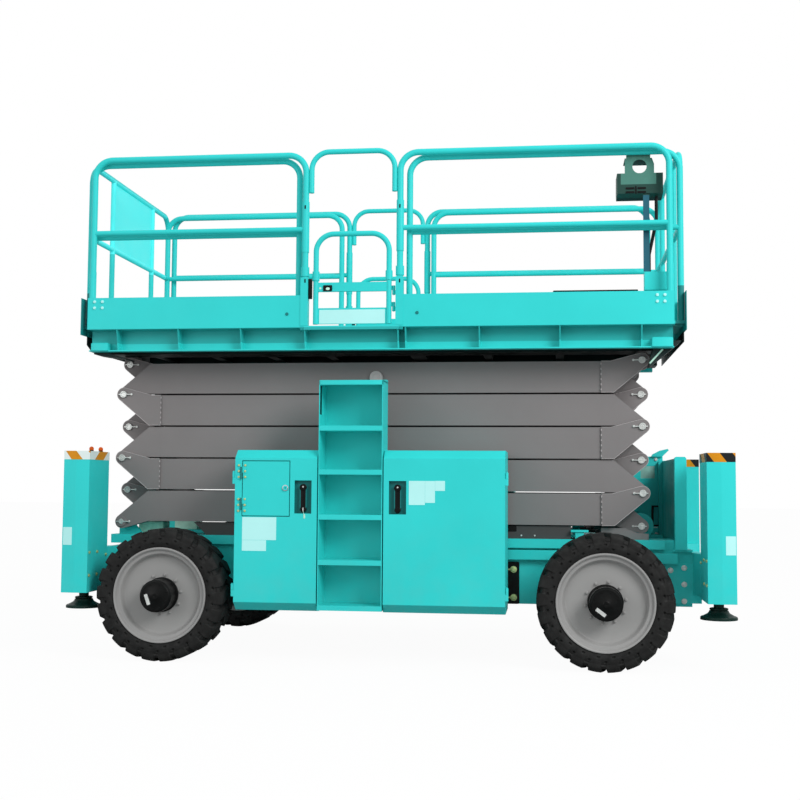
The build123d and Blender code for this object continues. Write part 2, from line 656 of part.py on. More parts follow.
def cabinet_shell(cab, hinge_side):
    """Open-fronted sheet cabinet with brackets to the chassis, near side."""
    x0, x1 = cab
    y_front = -CAB_FACE_Y + CAB_DEPTH_DOOR + DOOR_GAP
    outer = block(x0, x1, y_front, -CAB_BACK_Y, CAB_BOTTOM, CAB_TOP)
    inner = block(x0 + SHEET, x1 - SHEET, y_front - 1, -CAB_BACK_Y - SHEET, CAB_BOTTOM + SHEET, CAB_TOP - SHEET)
    shell = outer - inner
    for x in (x0 + 60, x1 - 120):
        shell = join(shell, block(x, x + 60, -CAB_BACK_Y, -WEB_Y, WEB_BOTTOM + 30, WEB_BOTTOM + 110))
    x_hinge = x0 if hinge_side < 0 else x1
    for z in hinge_levels():
        strap = block(min(x_hinge, x_hinge + hinge_side * 4), max(x_hinge, x_hinge + hinge_side * 4),
                      -CAB_FACE_Y + 12, y_front + 60, z + 1, z + 39)
        shell = join(shell, strap, disc_z(x_hinge + hinge_side * 10, -CAB_FACE_Y + 12, z + 1, z + 39, 10)
                     - disc_z(x_hinge + hinge_side * 10, -CAB_FACE_Y + 12, z, z + 40, HINGE_PIN_R + PIN_FIT))
    return shell


def hinge_levels():
    return (CAB_BOTTOM + 130, CAB_TOP - 180)


def door_solid(cab, hinge_side):
    """Sheet door as a shallow tray with bevelled top and bottom edges."""
    x0 = cab[0] + (1 if hinge_side < 0 else DOOR_SWING_GAP)
    x1 = cab[1] - (DOOR_SWING_GAP if hinge_side < 0 else 1)
    y_out = -CAB_FACE_Y
    y_in = y_out + CAB_DEPTH_DOOR
    outline = [(y_in, CAB_BOTTOM), (y_out, CAB_BOTTOM + CAB_CHAMFER_BOTTOM), (y_out, CAB_TOP - CAB_CHAMFER_TOP),
               (y_in, CAB_TOP)]
    inner = [(y_in + 1, CAB_BOTTOM + SHEET), (y_out + SHEET, CAB_BOTTOM + CAB_CHAMFER_BOTTOM + 3),
             (y_out + SHEET, CAB_TOP - CAB_CHAMFER_TOP - 3), (y_in + 1, CAB_TOP - SHEET)]
    door = plate_x(outline, x0, x1) - plate_x(inner, x0 + SHEET, x1 - SHEET)
    x_edge = x0 if hinge_side < 0 else x1
    x_pin = (cab[0] if hinge_side < 0 else cab[1]) + hinge_side * 10
    for z in hinge_levels():
        door = join(door, disc_z(x_pin, -CAB_FACE_Y + 12, z - 40, z, 10),
                    block(min(x_pin, x_edge), max(x_pin, x_edge), -CAB_FACE_Y + 2, -CAB_FACE_Y + 10, z - 40, z),
                    disc_z(x_pin, -CAB_FACE_Y + 12, z - 40, z + 44, HINGE_PIN_R))
    lock = x1 - LOCK_INSET - LOCK_W if hinge_side < 0 else x0 + LOCK_INSET
    x_lock = (lock, lock + LOCK_W)
    recess = block(*x_lock, y_out - 1, y_out + 30, 962, 1174)
    pan = block(x_lock[0] - SHEET, x_lock[1] + SHEET, y_out + 2, y_out + 34, 962 - SHEET, 1174 + SHEET)
    pan = pan - recess
    mid = (x_lock[0] + x_lock[1]) / 2
    paddle = block(mid - 22, mid + 22, y_out + 6, y_out + 31, 1000, 1136)
    return join(door - recess, pan, paddle)


def door_near_rear():
    """Rear near door, with the opening for the small controls hatch."""
    door = door_solid(REAR_CAB, -1)
    opening = block(HATCH_X[0], HATCH_X[1], -CAB_FACE_Y - 1, -CAB_FACE_Y + SHEET + 1, HATCH_Z[0], HATCH_Z[1])
    door = door - opening
    for z in (HATCH_Z[0] + 40, HATCH_Z[1] - 120):
        knuckle_y = -CAB_FACE_Y - HATCH_PIN_OUT
        x_pin = HATCH_X[0] - 4
        leaf = block(x_pin - 28, x_pin, knuckle_y + 2, -CAB_FACE_Y + 1, z, z + 39)
        bore = disc_z(x_pin, knuckle_y, z - 1, z + 40, 3 + PIN_FIT)
        door = join(door, join(disc_z(x_pin, knuckle_y, z, z + 39, 5.5), leaf) - bore)
    return door


def hatch_near():
    """Small hatch over the ground controls."""
    plate = block(HATCH_X[0] + HATCH_GAP, HATCH_X[1] - HATCH_GAP, -CAB_FACE_Y, -CAB_FACE_Y + SHEET,
                  HATCH_Z[0] + HATCH_GAP, HATCH_Z[1] - HATCH_GAP)
    x = HATCH_X[0] - 4
    y = -CAB_FACE_Y - HATCH_PIN_OUT
    seat = HATCH_X[0] + HATCH_GAP
    for z in (HATCH_Z[0] + 40, HATCH_Z[1] - 120):
        plate = join(plate, disc_z(x, y, z + 40, z + 79, 5.5), disc_z(x, y, z - 4, z + 79, 3),
                     block(x, seat + 24, y + 2, y + 5, z + 40, z + 79),
                     block(seat, seat + 24, y + 2, -CAB_FACE_Y + 1, z + 40, z + 79))
    lock = disc_y(-666, 1125, -CAB_FACE_Y - 6, -CAB_FACE_Y + 12, 14)
    return join(plate, lock)


def ladder():
    """Recessed ladder box with side plates, back sheet and box treads, near side."""
    x0 = REAR_CAB[1]
    x1 = FRONT_CAB[0]
    y_out = -CAB_FACE_Y
    y_back = y_out + TREAD_DEPTH
    sides = []
    for a, b in ((x0, x0 + SHEET), (x1 - SHEET, x1)):
        sides.append(plate_x([(y_out, LADDER_BOTTOM), (y_back, LADDER_BOTTOM), (y_back, LADDER_TOP),
                              (y_out, LADDER_TOP - 20)], a, b))
    back = block(x0, x1, y_back - SHEET, y_back, LADDER_BOTTOM, LADDER_TOP)
    treads = [block(x0, x1, y_out, y_back, z - TREAD_T / 2, z + TREAD_T / 2) for z in TREAD_Z]
    rim = block(x0, x1, y_back - 40, y_back, LADDER_TOP - 12, LADDER_TOP)
    feet = [block(x, x + 50, y_back, -WEB_Y, WEB_BOTTOM + 30, WEB_BOTTOM + 110) for x in (x0 + 50, x1 - 100)]
    return join(*sides, back, *treads, rim, *feet)


def front_end_box():
    """Open tray at the steered end: an end plate between two corner posts, and a far cheek with a window and a pan."""
    xa, xb = END_POST_X
    y = END_BOX_HALF
    t = SHEET
    bevel = END_POST_BEVEL
    post = plate_y([(xa, LEDGE_Z), (xb, LEDGE_Z), (xb, END_POST_TOP - bevel), (xb - bevel, END_POST_TOP),
                    (xa + bevel, END_POST_TOP), (xa, END_POST_TOP - bevel)], -y, -y + END_POST_D)
    plate = block(END_PLATE_X, END_PLATE_X + t, -y + END_POST_D - 1, y - END_POST_D + 1, LEDGE_Z, END_POST_TOP - t)
    cheek = block(END_CHEEK_X, END_PLATE_X + t, y - t, y, END_CHEEK_BOTTOM, END_CHEEK_TOP)
    cheek = cheek - block(END_WINDOW[0], END_WINDOW[1], y - t - 1, y + 1, END_WINDOW[2], END_WINDOW[3])
    cheek = cheek - block(END_PAN[0], END_PAN[1], y - t - 1, y + 1, END_PAN[2], END_PAN[3])
    pan = block(END_PAN[0] - t, END_PAN[1] + t, y, y + END_PAN_D, END_PAN[2] - t, END_PAN[3] + t)
    pan = pan - block(END_PAN[0], END_PAN[1], y - 1, y + END_PAN_D - t, END_PAN[2], END_PAN[3])
    top = END_CHEEK_TOP
    hook = plate_y([(END_PAN[0], top - 1), (END_PLATE_X, top - 1), (END_PLATE_X + 50, top + 48),
                    (END_PLATE_X + 40, top + 58), (END_PLATE_X - 20, top + 44), (END_PAN[0] + 10, top + 16)],
                   y - END_POST_D / 2, y)
    foot = block(LIP_END - 80, LIP_END - 20, LEDGE_Y - 40, y - t, CHASSIS_TOP, CHASSIS_TOP + t)
    leg = block(LIP_END - 80, LIP_END - 20, y - t, y, CHASSIS_TOP, END_CHEEK_BOTTOM + 1)
    return join(post, mirrored(post), plate, cheek, pan, hook, foot, leg)


def power_blocks():
    """Engine and hydraulic tank as plain blocks inside the cabinets."""
    engine = block(80, 640, CAB_BACK_Y + 40, CAB_FACE_Y - 110, CAB_BOTTOM + SHEET, 1150)
    tank = block(-930, -520, -CAB_FACE_Y + 160, -CAB_BACK_Y - 30, CAB_BOTTOM + SHEET, 900)
    return [engine, tank]


def toe_board(x0, x1):
    return block(x0, x1, -DECK_HALF_Y, -DECK_HALF_Y + TOE_T, DECK_TOP, TOE_TOP)


def side_channel():
    """Side channel of the deck: an upright web set back from the edge, with a flange along its foot."""
    web = block(DECK_LEFT, DECK_RIGHT, -DECK_HALF_Y + SIDE_DEPTH - FLANGE_T, -DECK_HALF_Y + SIDE_DEPTH, DECK_BOTTOM,
                DECK_TOP - 5)
    flange = block(DECK_LEFT, DECK_RIGHT, -DECK_HALF_Y + FLANGE_IN, -DECK_HALF_Y + SIDE_DEPTH, DECK_BOTTOM - FLANGE_T,
                   DECK_BOTTOM)
    return join(web, flange)


def post_socket(x):
    """Folded socket at the deck's edge that a gate post stands in."""
    x0 = x - SOCKET_W / 2
    y0 = -DECK_HALF_Y - 4
    y1 = -RAIL_Y + RAIL_R + 3
    low = DECK_TOP - SILL_H
    body = plate_x([(y0 + 12, low), (y1, low), (y1, SOCKET_TOP), (y0, SOCKET_TOP), (y0, low + 30)], x0, x0 + SOCKET_W)
    return body - disc_z(x, -RAIL_Y, DECK_TOP, SOCKET_TOP + 1, RAIL_R + PIN_FIT)


def gate_hinge_lugs():
    """Fixed halves of the gate hinges on the front post's socket."""
    lugs = []
    y = -GATE_Y + 8
    edge = FRONT_POST_X - SOCKET_W / 2 + 2
    for z in GATE_HINGE_Z:
        lug = join(disc_z(GATE_HINGE_X, y, z - 31, z - 1, 10), block(GATE_HINGE_X, edge, y - 4, y + 4, z - 31, z - 1))
        lugs.append(lug - disc_z(GATE_HINGE_X, y, z - 32, z, HINGE_PIN_R + PIN_FIT))
    return lugs


def deck_frame():
    """Main deck: floor, side channels with gussets, carriers for the top pins and tracks, toe boards."""
    floor = block(DECK_LEFT, DECK_RIGHT, -DECK_HALF_Y, DECK_HALF_Y, DECK_TOP - 5, DECK_TOP)
    web_y = DECK_HALF_Y - SIDE_DEPTH
    side = side_channel()
    for x in RIB_X:
        side = join(side, plate_x([(-web_y, DECK_BOTTOM - 1), (-DECK_HALF_Y + FLANGE_IN, DECK_BOTTOM - 1),
                                   (-DECK_HALF_Y + 2, DECK_TOP - 5), (-web_y, DECK_TOP - 5)], x, x + RIB_T))
    side = join(side, toe_board(DECK_LEFT, REAR_POST_X - SOCKET_W / 2 + 1),
                toe_board(FRONT_POST_X + SOCKET_W / 2 - 1, DECK_RIGHT),
                block(REAR_POST_X, FRONT_POST_X, -DECK_HALF_Y - 2, -DECK_HALF_Y + TOE_T, DECK_TOP - SILL_H, DECK_TOP + 6),
                post_socket(REAR_POST_X), post_socket(FRONT_POST_X), *gate_hinge_lugs())
    beam = block(DECK_LEFT, DECK_RIGHT, -OUTER_Y - HALF_W, -INNER_Y + HALF_W, DECK_BOTTOM, DECK_TOP - 5)
    beam = beam - block(DECK_LEFT, DECK_RIGHT, -OUTER_Y - HALF_W + 10, -INNER_Y + HALF_W - 10, DECK_BOTTOM + 10,
                        DECK_TOP - 15)
    top_row = PIN_ROW_Z + LEVELS * PITCH
    lug_half = HALF_W - END_NARROW
    hanger = join(plate_y([(PIN_LEFT_X - LUG_R, top_row), (PIN_LEFT_X + LUG_R, top_row),
                           (PIN_LEFT_X + LUG_R, DECK_BOTTOM), (PIN_LEFT_X - LUG_R, DECK_BOTTOM)],
                          -INNER_Y - lug_half, -INNER_Y + lug_half),
                  disc_y(PIN_LEFT_X, top_row, -INNER_Y - lug_half, -INNER_Y + lug_half, LUG_R))
    hanger = hanger - disc_y(PIN_LEFT_X, top_row, -INNER_Y - HALF_W, -INNER_Y + HALF_W, END_PIN_R + PIN_FIT)
    side = join(side, beam, hanger)
    deck = join(floor, side, mirrored(side))
    for x in RIB_X:
        deck = join(deck, block(x - 20, x + 40, -web_y, web_y, DECK_BOTTOM + 40, DECK_TOP - 5))
    return deck


def rail_loop(x0, x1, y, top, mid, foot):
    """Inverted U of tube with a mid rail."""
    loop = bent_tube([(x0, y, foot), (x0, y, top), (x1, y, top), (x1, y, foot)], RAIL_BEND, RAIL_R)
    return join(loop, rod((x0, y, mid), (x1, y, mid), RAIL_R - 3))


def post_rings(x, y, levels, r):
    """Round sleeves on one post, each from a lower to an upper level."""
    return [disc_z(x, y, low, high, r) for low, high in levels]


def guardrails():
    """Fixed rails of both halves and the arch over each gate."""
    rear = rail_loop(DECK_LEFT + RAIL_R + 1, REAR_POST_X, -RAIL_Y, RAIL_TOP, RAIL_MID, DECK_TOP)
    front = rail_loop(FRONT_POST_X, DECK_RIGHT - RAIL_R - 1, -RAIL_Y, RAIL_TOP, RAIL_MID, DECK_TOP)
    a = REAR_POST_X + RAIL_R + ARCH_R - 1
    b = FRONT_POST_X - RAIL_R - ARCH_R + 1
    arch = bent_tube([(a, -RAIL_Y, ARCH_STUB), (a, -RAIL_Y, ARCH_TOP), (b, -RAIL_Y, ARCH_TOP),
                      (b, -RAIL_Y, ARCH_STUB)], RAIL_BEND, ARCH_R)
    rings = []
    for x in (REAR_POST_X, FRONT_POST_X):
        rings += post_rings(x, -RAIL_Y, [COLLAR_Z], COLLAR_R) + post_rings(x, -RAIL_Y, [SLEEVE_Z], SLEEVE_R)
    for x in (DECK_LEFT + RAIL_R + 1, DECK_RIGHT - RAIL_R - 1):
        rings += post_rings(x, -RAIL_Y, [(DECK_TOP, CORNER_SLEEVE_TOP)], CORNER_SLEEVE_R)
    shapes = join(rear, arch, front, *rings)
    return both(shapes)


def gate():
    """Inward-swinging gate of bent tube with a cross bar and toe plate, near side."""
    y = -GATE_Y
    r = GATE_TUBE_R
    frame = bent_tube([(GATE_STILE_LEFT, y, GATE_PLATE_Z[0]), (GATE_STILE_LEFT, y, GATE_TOP),
                       (GATE_STILE_RIGHT, y, GATE_TOP), (GATE_STILE_RIGHT, y, GATE_PLATE_Z[0])], RAIL_BEND, r)
    bar = block(GATE_STILE_LEFT, GATE_STILE_RIGHT, y - 12, y + 12, *GATE_BAR_Z)
    plate = block(GATE_STILE_LEFT, GATE_STILE_RIGHT, y - 4, y + 4, *GATE_PLATE_Z)
    body = join(frame, bar, plate, *[disc_z(x, y, *GATE_COLLAR_Z, r + 6) for x in (GATE_STILE_LEFT, GATE_STILE_RIGHT)])
    for z in GATE_HINGE_Z:
        body = join(body, disc_z(GATE_HINGE_X, y + 8, z, z + 29, 10),
                    block(GATE_STILE_RIGHT, GATE_HINGE_X, y + 4, y + 12, z, z + 29),
                    disc_z(GATE_HINGE_X, y + 8, z - 34, z + 29, HINGE_PIN_R))
    return body


def extension(x_end, x_post, toe_x, panel):
    """Roll-out deck: floor on skids, side rails, end rail with two stiles, end toe board and end panel."""
    z0 = DECK_TOP + DECK_PLAY
    lo = min(x_post - RAIL_R - 10, toe_x + 2)
    hi = max(x_post + RAIL_R + 10, toe_x + 2)
    plate = block(lo, hi, -EXT_HALF_Y, EXT_HALF_Y, z0 + 5, z0 + EXT_PLATE_T)
    skids = [block(lo, hi, y - 15, y + 15, z0, z0 + 5) for y in SKID_Y]
    foot = z0 + EXT_PLATE_T
    y = EXT_RAIL_Y
    loops = []
    for side in (-1, 1):
        loops.append(rail_loop(x_end, x_post, side * y, EXT_RAIL_TOP, EXT_RAIL_MID, foot - 10))
    end_loop = bent_tube([(x_end, -y, EXT_RAIL_MID), (x_end, -y, EXT_RAIL_TOP), (x_end, y, EXT_RAIL_TOP),
                          (x_end, y, EXT_RAIL_MID)], RAIL_BEND, RAIL_R - 1)
    mid = rod((x_end, -y, EXT_RAIL_MID), (x_end, y, EXT_RAIL_MID), RAIL_R - 2)
    stiles = [rod((x_end, s * END_PANEL_HALF, foot - 10), (x_end, s * END_PANEL_HALF, EXT_RAIL_TOP), END_STILE_R)
              for s in (-1, 1)]
    toe = block(min(toe_x, toe_x + 5), max(toe_x, toe_x + 5), -DECK_HALF_Y, DECK_HALF_Y, DECK_TOP - 40, TOE_TOP)
    deck = join(plate, *skids, toe, *loops, end_loop, mid, *stiles)
    if panel:
        deck = join(deck, block(x_end - END_PANEL_T / 2, x_end + END_PANEL_T / 2, -END_PANEL_HALF, END_PANEL_HALF,
                                EXT_RAIL_MID, EXT_RAIL_TOP - RAIL_R / 2))
    return deck


def control_box():
    """Platform control box hung on the front rail, its post, cable and the cover box at the post's foot."""
    x0 = BOX_X
    y0 = -EXT_RAIL_Y + RAIL_R
    bracket = plate_y([(x0 + 12, BOX_TOP), (x0 + 50, BOX_TOP), (x0 + 50, BOX_TOP + 100), (x0 + 226, BOX_TOP + 100),
                       (x0 + 240, BOX_TOP + 60), (x0 + 240, BOX_TOP)], y0, y0 + SHEET)
    bracket = bracket - disc_y(x0 + 146, BOX_TOP + 45, y0 - 1, y0 + SHEET + 1, BOX_HOLE_R)
    shelf = block(x0 + 50, x0 + 226, y0, y0 + BOX_DEPTH, BOX_TOP + 95, BOX_TOP + 100)
    hanger = block(x0 + 60, x0 + 216, y0, y0 + SHEET, BOX_TOP + 95, EXT_RAIL_TOP)
    case = plate_x([(y0, BOX_BOTTOM + 10), (y0 + BOX_DEPTH - 30, BOX_BOTTOM - 8), (y0 + BOX_DEPTH, BOX_BOTTOM + 30),
                    (y0 + BOX_DEPTH - 10, BOX_TOP), (y0, BOX_TOP)], x0, x0 + BOX_W)
    side = block(x0 + BOX_W - 80, x0 + BOX_W - 75, y0, y0 + BOX_DEPTH, BOX_TOP - 1, BOX_TOP + 100)
    post = block(x0 + 168, x0 + 208, y0 + 8, y0 + 14, COVER_TOP - 1, BOX_BOTTOM + 20)
    plate_top = DECK_TOP + DECK_PLAY + EXT_PLATE_T
    cover = block(COVER_X, COVER_X + COVER_W, y0, y0 + 90, COVER_TOP - COVER_H, COVER_TOP)
    foot = block(COVER_X + 50, COVER_X + 100, y0 + 20, y0 + 60, plate_top, COVER_TOP - COVER_H)
    cable = bent_tube([(x0 + BOX_W - 40, y0 + 60, BOX_BOTTOM + 20), (x0 + BOX_W - 40, y0 + 60, BOX_BOTTOM - 160),
                       (x0 + BOX_W - 90, y0 + 45, COVER_TOP + 120), (x0 + BOX_W - 90, y0 + 45, COVER_TOP - 10)],
                      60, CABLE_R)
    return join(case, bracket, shelf, hanger, side, post, cable, cover, foot)


def build_all():
    keep("chassis_frame", chassis_frame())
    keep("arm_rests", *arm_rests())
    keep("rear_axle", rear_axle())
    keep("front_axle", front_axle())
    housings = [outrigger_housing(s) for s in (-1, 1)]
    keep("outrigger_housings", *housings, *[mirrored(h) for h in housings])
    cabs = [cabinet_shell(REAR_CAB, -1), cabinet_shell(FRONT_CAB, 1)]
    keep("cabinets_near", *cabs)
    keep("cabinets_far", *[mirrored(c) for c in cabs])
    keep("ladder_near", ladder())
    keep("ladder_far", mirrored(ladder()))
    keep("front_end_box", front_end_box())
    keep("power_blocks", *power_blocks())
    for name, x in (("rear", REAR_WHEEL_X), ("front", FRONT_WHEEL_X)):
        for side_name, side in (("near", -1), ("far", 1)):
            keep(f"tyre_{name}_{side_name}", tyre_solid(x, side))
            keep(f"rim_{name}_{side_name}", rim_solid(x, side))
    keep("knuckle_near", knuckle(-1))
    keep("knuckle_far", knuckle(1))
    keep("tie_rod", tie_rod())
    for level in range(1, LEVELS + 1):
        keep(f"outer_frame_{level}", outer_frame(level))
        keep(f"inner_frame_{level}", inner_frame(level))
    for name, level in (("lower", 1), ("upper", 3)):
        barrel, stem = cylinder_parts(level)
        keep(f"{name}_barrel", barrel)
        keep(f"{name}_rod", stem)
    keep("deck_frame", deck_frame())
    keep("guardrails", *guardrails())
    keep("gate_near", gate())
    keep("gate_far", mirrored(gate()))
    keep("extension_rear", extension(EXT_REAR_END, EXT_REAR_POST, EXT_REAR_TOE, True))
    keep("extension_front", extension(EXT_FRONT_END, EXT_FRONT_POST, EXT_FRONT_TOE, False))
    keep("control_box", control_box())
    keep("door_near_rear", door_near_rear())
    keep("hatch_near", hatch_near())
    keep("door_near_front", door_solid(FRONT_CAB, 1))
    keep("door_far_rear", mirrored(door_solid(REAR_CAB, -1)))
    keep("door_far_front", mirrored(door_solid(FRONT_CAB, 1)))
    for x_name, x_side in (("rear", -1), ("front", 1)):
        for y_name, y_side in (("near", -1), ("far", 1)):
            keep(f"leg_{x_name}_{y_name}", outrigger_leg(x_side, y_side))


if __name__ == "__main__":
    build_all()
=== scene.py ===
"""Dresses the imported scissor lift: finishes on its solids, and the small fittings that seat on them.

Metres, +X towards the steered end, +Z up. "Near" is the -Y side and "far" is the +Y side. Most fittings
are made once on the near side, and `on_side` gives the far side its twin.
"""
import math

import bpy
import numpy as np
from mathutils import Matrix, Vector


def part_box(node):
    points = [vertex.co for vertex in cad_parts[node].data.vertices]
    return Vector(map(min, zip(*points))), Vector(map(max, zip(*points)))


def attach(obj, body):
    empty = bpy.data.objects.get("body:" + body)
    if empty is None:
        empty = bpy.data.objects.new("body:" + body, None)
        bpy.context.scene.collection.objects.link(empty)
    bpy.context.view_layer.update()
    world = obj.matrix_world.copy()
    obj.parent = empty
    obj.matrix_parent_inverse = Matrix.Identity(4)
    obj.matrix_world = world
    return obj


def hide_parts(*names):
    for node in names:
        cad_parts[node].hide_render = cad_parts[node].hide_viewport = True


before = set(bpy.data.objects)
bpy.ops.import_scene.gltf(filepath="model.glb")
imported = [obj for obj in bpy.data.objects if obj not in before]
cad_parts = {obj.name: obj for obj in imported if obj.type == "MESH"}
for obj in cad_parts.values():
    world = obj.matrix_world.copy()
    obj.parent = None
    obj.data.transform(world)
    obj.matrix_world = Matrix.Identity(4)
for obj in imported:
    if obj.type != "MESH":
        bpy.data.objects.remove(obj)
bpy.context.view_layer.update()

bl_info = {
    "name": "Scissor lift",
    "version": (1, 0, 0),
    "blender": (4, 5, 0),
    "location": "3D View > Sidebar > Lift",
    "description": "Finishes and fittings of a rough-terrain scissor lift",
    "category": "Object",
}

SIDES = {"near": -1, "far": 1}
ENDS = ("rear", "front")

# The lowest arm pins: left and right X and their height. PITCH is the rise from one level to the next.
LEFT_X, RIGHT_X, ROW_Z, PITCH = -1.944, 1.633, 0.883, 0.2217
SPAN = RIGHT_X - LEFT_X

# Y of the near faces that fittings seat on.
OUTER_ARM_Y, INNER_ARM_Y, TOE_Y, CABINET_Y, BOX_Y = -0.612, -0.487, -0.915, -1.120, -0.811

# X of each cabinet's sunk handle.
HANDLE_X = {"rear": -0.5505, "front": 0.0615}


# Shells: a shell is (points, quads, triangles), each a numpy array.


def grid_quads(rows, cols, wrap_rows=False):
    """Corner (i, j) joins (i+1, j), (i+1, j+1) and (i, j+1); columns wrap round, and rows if asked."""
    i, j = np.meshgrid(np.arange(rows - (not wrap_rows)), np.arange(cols), indexing="ij")
    i2, j2 = (i + 1) % rows, (j + 1) % cols
    return np.stack([i * cols + j, i2 * cols + j, i2 * cols + j2, i * cols + j2], -1).reshape(-1, 4)


def outward(shell):
    """Turns a closed shell's faces outwards, so that its volume, a sum of a . (b x c) / 6, is positive."""
    points, quads, tris = shell
    fans = np.concatenate([quads[:, [0, 1, 2]], quads[:, [0, 2, 3]], tris])
    a, b, c = (points[fans[:, k]] for k in range(3))
    if np.einsum("ij,ij->i", a, np.cross(b, c)).sum() < 0:
        return points, quads[:, ::-1], tris[:, ::-1]
    return shell


def loft(rings):
    """Rings of equal length joined in order, and each end closed by a fan to its own middle."""
    rings = np.asarray(rings, float)
    rows, cols = rings.shape[:2]
    j = np.arange(cols)
    k = (j + 1) % cols
    last = (rows - 1) * cols
    start = np.stack([np.full(cols, rows * cols), k, j], -1)
    end = np.stack([np.full(cols, rows * cols + 1), last + j, last + k], -1)
    points = np.concatenate([rings.reshape(-1, 3), [rings[0].mean(0)], [rings[-1].mean(0)]])
    return outward((points, grid_quads(rows, cols), np.concatenate([start, end])))


def ring_round(r, n=24):
    """Circle: (r cos t, r sin t)."""
    t = np.linspace(0, 2 * np.pi, n, endpoint=False)
    return np.stack([r * np.cos(t), r * np.sin(t)], -1)


def ring_hex(r, n=24):
    """Hexagon of inner radius r: distance r / cos(t mod 60 deg - 30 deg) at angle t."""
    t = np.linspace(0, 2 * np.pi, n, endpoint=False)
    d = r / np.cos(np.mod(t, np.pi / 3) - np.pi / 6)
    return np.stack([d * np.cos(t), d * np.sin(t)], -1)


def ring_box(w, h, r, n=4):
    """Rectangle w by h whose corners are quarter circles of radius r with n + 1 points each."""
    r = max(min(r, w / 2 - 1e-6, h / 2 - 1e-6), 1e-6)
    t = np.linspace(0, np.pi / 2, n + 1)
    rings = []
    for k, (sx, sy) in enumerate(((1, 1), (-1, 1), (-1, -1), (1, -1))):
        a = t + k * np.pi / 2
        rings.append(np.stack([sx * (w / 2 - r) + r * np.cos(a), sy * (h / 2 - r) + r * np.sin(a)], -1))
    return np.concatenate(rings)


def stack(levels):
    """Rings in the plane, each lifted to its own height: levels is a list of (ring, z)."""
    return loft([np.column_stack([ring, np.full(len(ring), z)]) for ring, z in levels])


def disc(r, h, bevel, n):
    """Round boss of radius r from z 0 to h, its top edge cut back by the bevel."""
    return stack([(ring_round(r, n), 0), (ring_round(r, n), h - bevel), (ring_round(r - bevel, n), h)])


def plate(w, h, t, corner, bevel=0.0):
    """Rounded rectangle from z 0 to t, its front edge cut back by the bevel."""
    return stack([(ring_box(w, h, corner), 0), (ring_box(w, h, corner), t - bevel),
                  (ring_box(w - 2 * bevel, h - 2 * bevel, corner), t)])


def bolt(r, washer=1.35):
    """Hexagon head of inner radius r on its washer."""
    return stack([(ring_round(washer * r), 0), (ring_round(washer * r), 0.22 * r), (ring_hex(r), 0.24 * r),
                  (ring_hex(r), 0.85 * r), (ring_round(0.86 * r), r)])


def turned(profile, n=48):
    """Profile of (radius, height) pairs turned about Z, closed by fans at both ends."""
    return stack([(ring_round(max(r, 1e-5), n), z) for r, z in profile])


def band(profile, n):
    """Closed profile of (radius, height) pairs turned about Z into a ring."""
    profile = np.asarray(profile, float)
    t = np.linspace(0, 2 * np.pi, n, endpoint=False)[:, None]
    r, z = profile[:, 0], profile[:, 1]
    points = np.stack([r * np.cos(t), r * np.sin(t), np.broadcast_to(z, (n, len(z)))], -1)
    return outward((points.reshape(-1, 3), grid_quads(n, len(z), True), np.zeros((0, 3), int)))


def place(shell, at, out=(0, -1, 0), up=(0, 0, 1)):
    """Sets a shell's Z along `out` and its Y along `up`, with its origin at `at`."""
    z = np.array(out, float) / np.linalg.norm(out)
    x = np.cross(up, z)
    x /= np.linalg.norm(x)
    turn = np.stack([x, np.cross(z, x), z])
    return shell[0] @ turn + np.array(at, float), shell[1], shell[2]


def box(lo, hi, bevel):
    """Box between two corners with its upright edges rounded and its ends bevelled."""
    lo, hi = np.array(lo, float), np.array(hi, float)
    w, h, d = hi - lo
    b = min(bevel, w / 3, h / 3, d / 3)
    full, small = ring_box(w, h, b, 2), ring_box(w - 2 * b, h - 2 * b, b, 2)
    points, quads, tris = stack([(small, 0), (full, b), (full, d - b), (small, d)])
    return points + np.array([(lo[0] + hi[0]) / 2, (lo[1] + hi[1]) / 2, lo[2]]), quads, tris


def prism(points, z0, z1):
    """Upright solid over a star-shaped outline in the XY plane."""
    return stack([(np.asarray(points, float), z0), (np.asarray(points, float), z1)])


def slab(points, y0, y1):
    """Solid over a star-shaped outline in the XZ plane, from y0 to y1."""
    ring = np.asarray(points, float)
    return loft([np.column_stack([ring[:, 0], np.full(len(ring), y), ring[:, 1]]) for y in (y0, y1)])


def tube(path, r, n):
    """Circle of radius r carried along a path, each ring square to the path.

    One fixed axis, the one that the path runs along least, sets every ring's turn.
    """
    path = np.asarray(path, float)
    step = np.gradient(path, axis=0)
    step /= np.linalg.norm(step, axis=1)[:, None]
    spread = np.ptp(step, axis=0)
    side = np.zeros(3)
    side[int(np.argmin(np.abs(step).max(0) + 0.1 * spread))] = 1.0
    a = np.cross(step, side)
    a /= np.linalg.norm(a, axis=1)[:, None]
    b = np.cross(step, a)
    t = np.linspace(0, 2 * np.pi, n, endpoint=False)[:, None]
    return loft(path[:, None] + r * (np.cos(t) * a[:, None] + np.sin(t) * b[:, None]))


def smooth_path(points, n):
    """Catmull-Rom curve through the points, sampled at n places."""
    p = np.asarray(points, float)
    p = np.concatenate([[2 * p[0] - p[1]], p, [2 * p[-1] - p[-2]]])
    s = np.linspace(0, len(p) - 3 - 1e-9, n)
    k = s.astype(int)
    t = (s - k)[:, None]
    a, b, c, d = p[k], p[k + 1], p[k + 2], p[k + 3]
    square, cube = 2 * a - 5 * b + 4 * c - d, 3 * b - a - 3 * c + d
    return 0.5 * (2 * b + (c - a) * t + square * t ** 2 + cube * t ** 3)


def mirrored(shell):
    """The far-side twin: Y changes sign and the faces turn round."""
    return shell[0] * np.array([1, -1, 1]), shell[1][:, ::-1], shell[2][:, ::-1]


def on_side(shell, side):
    """The shell as made for the near side, or its twin."""
    return shell if SIDES[side] < 0 else mirrored(shell)


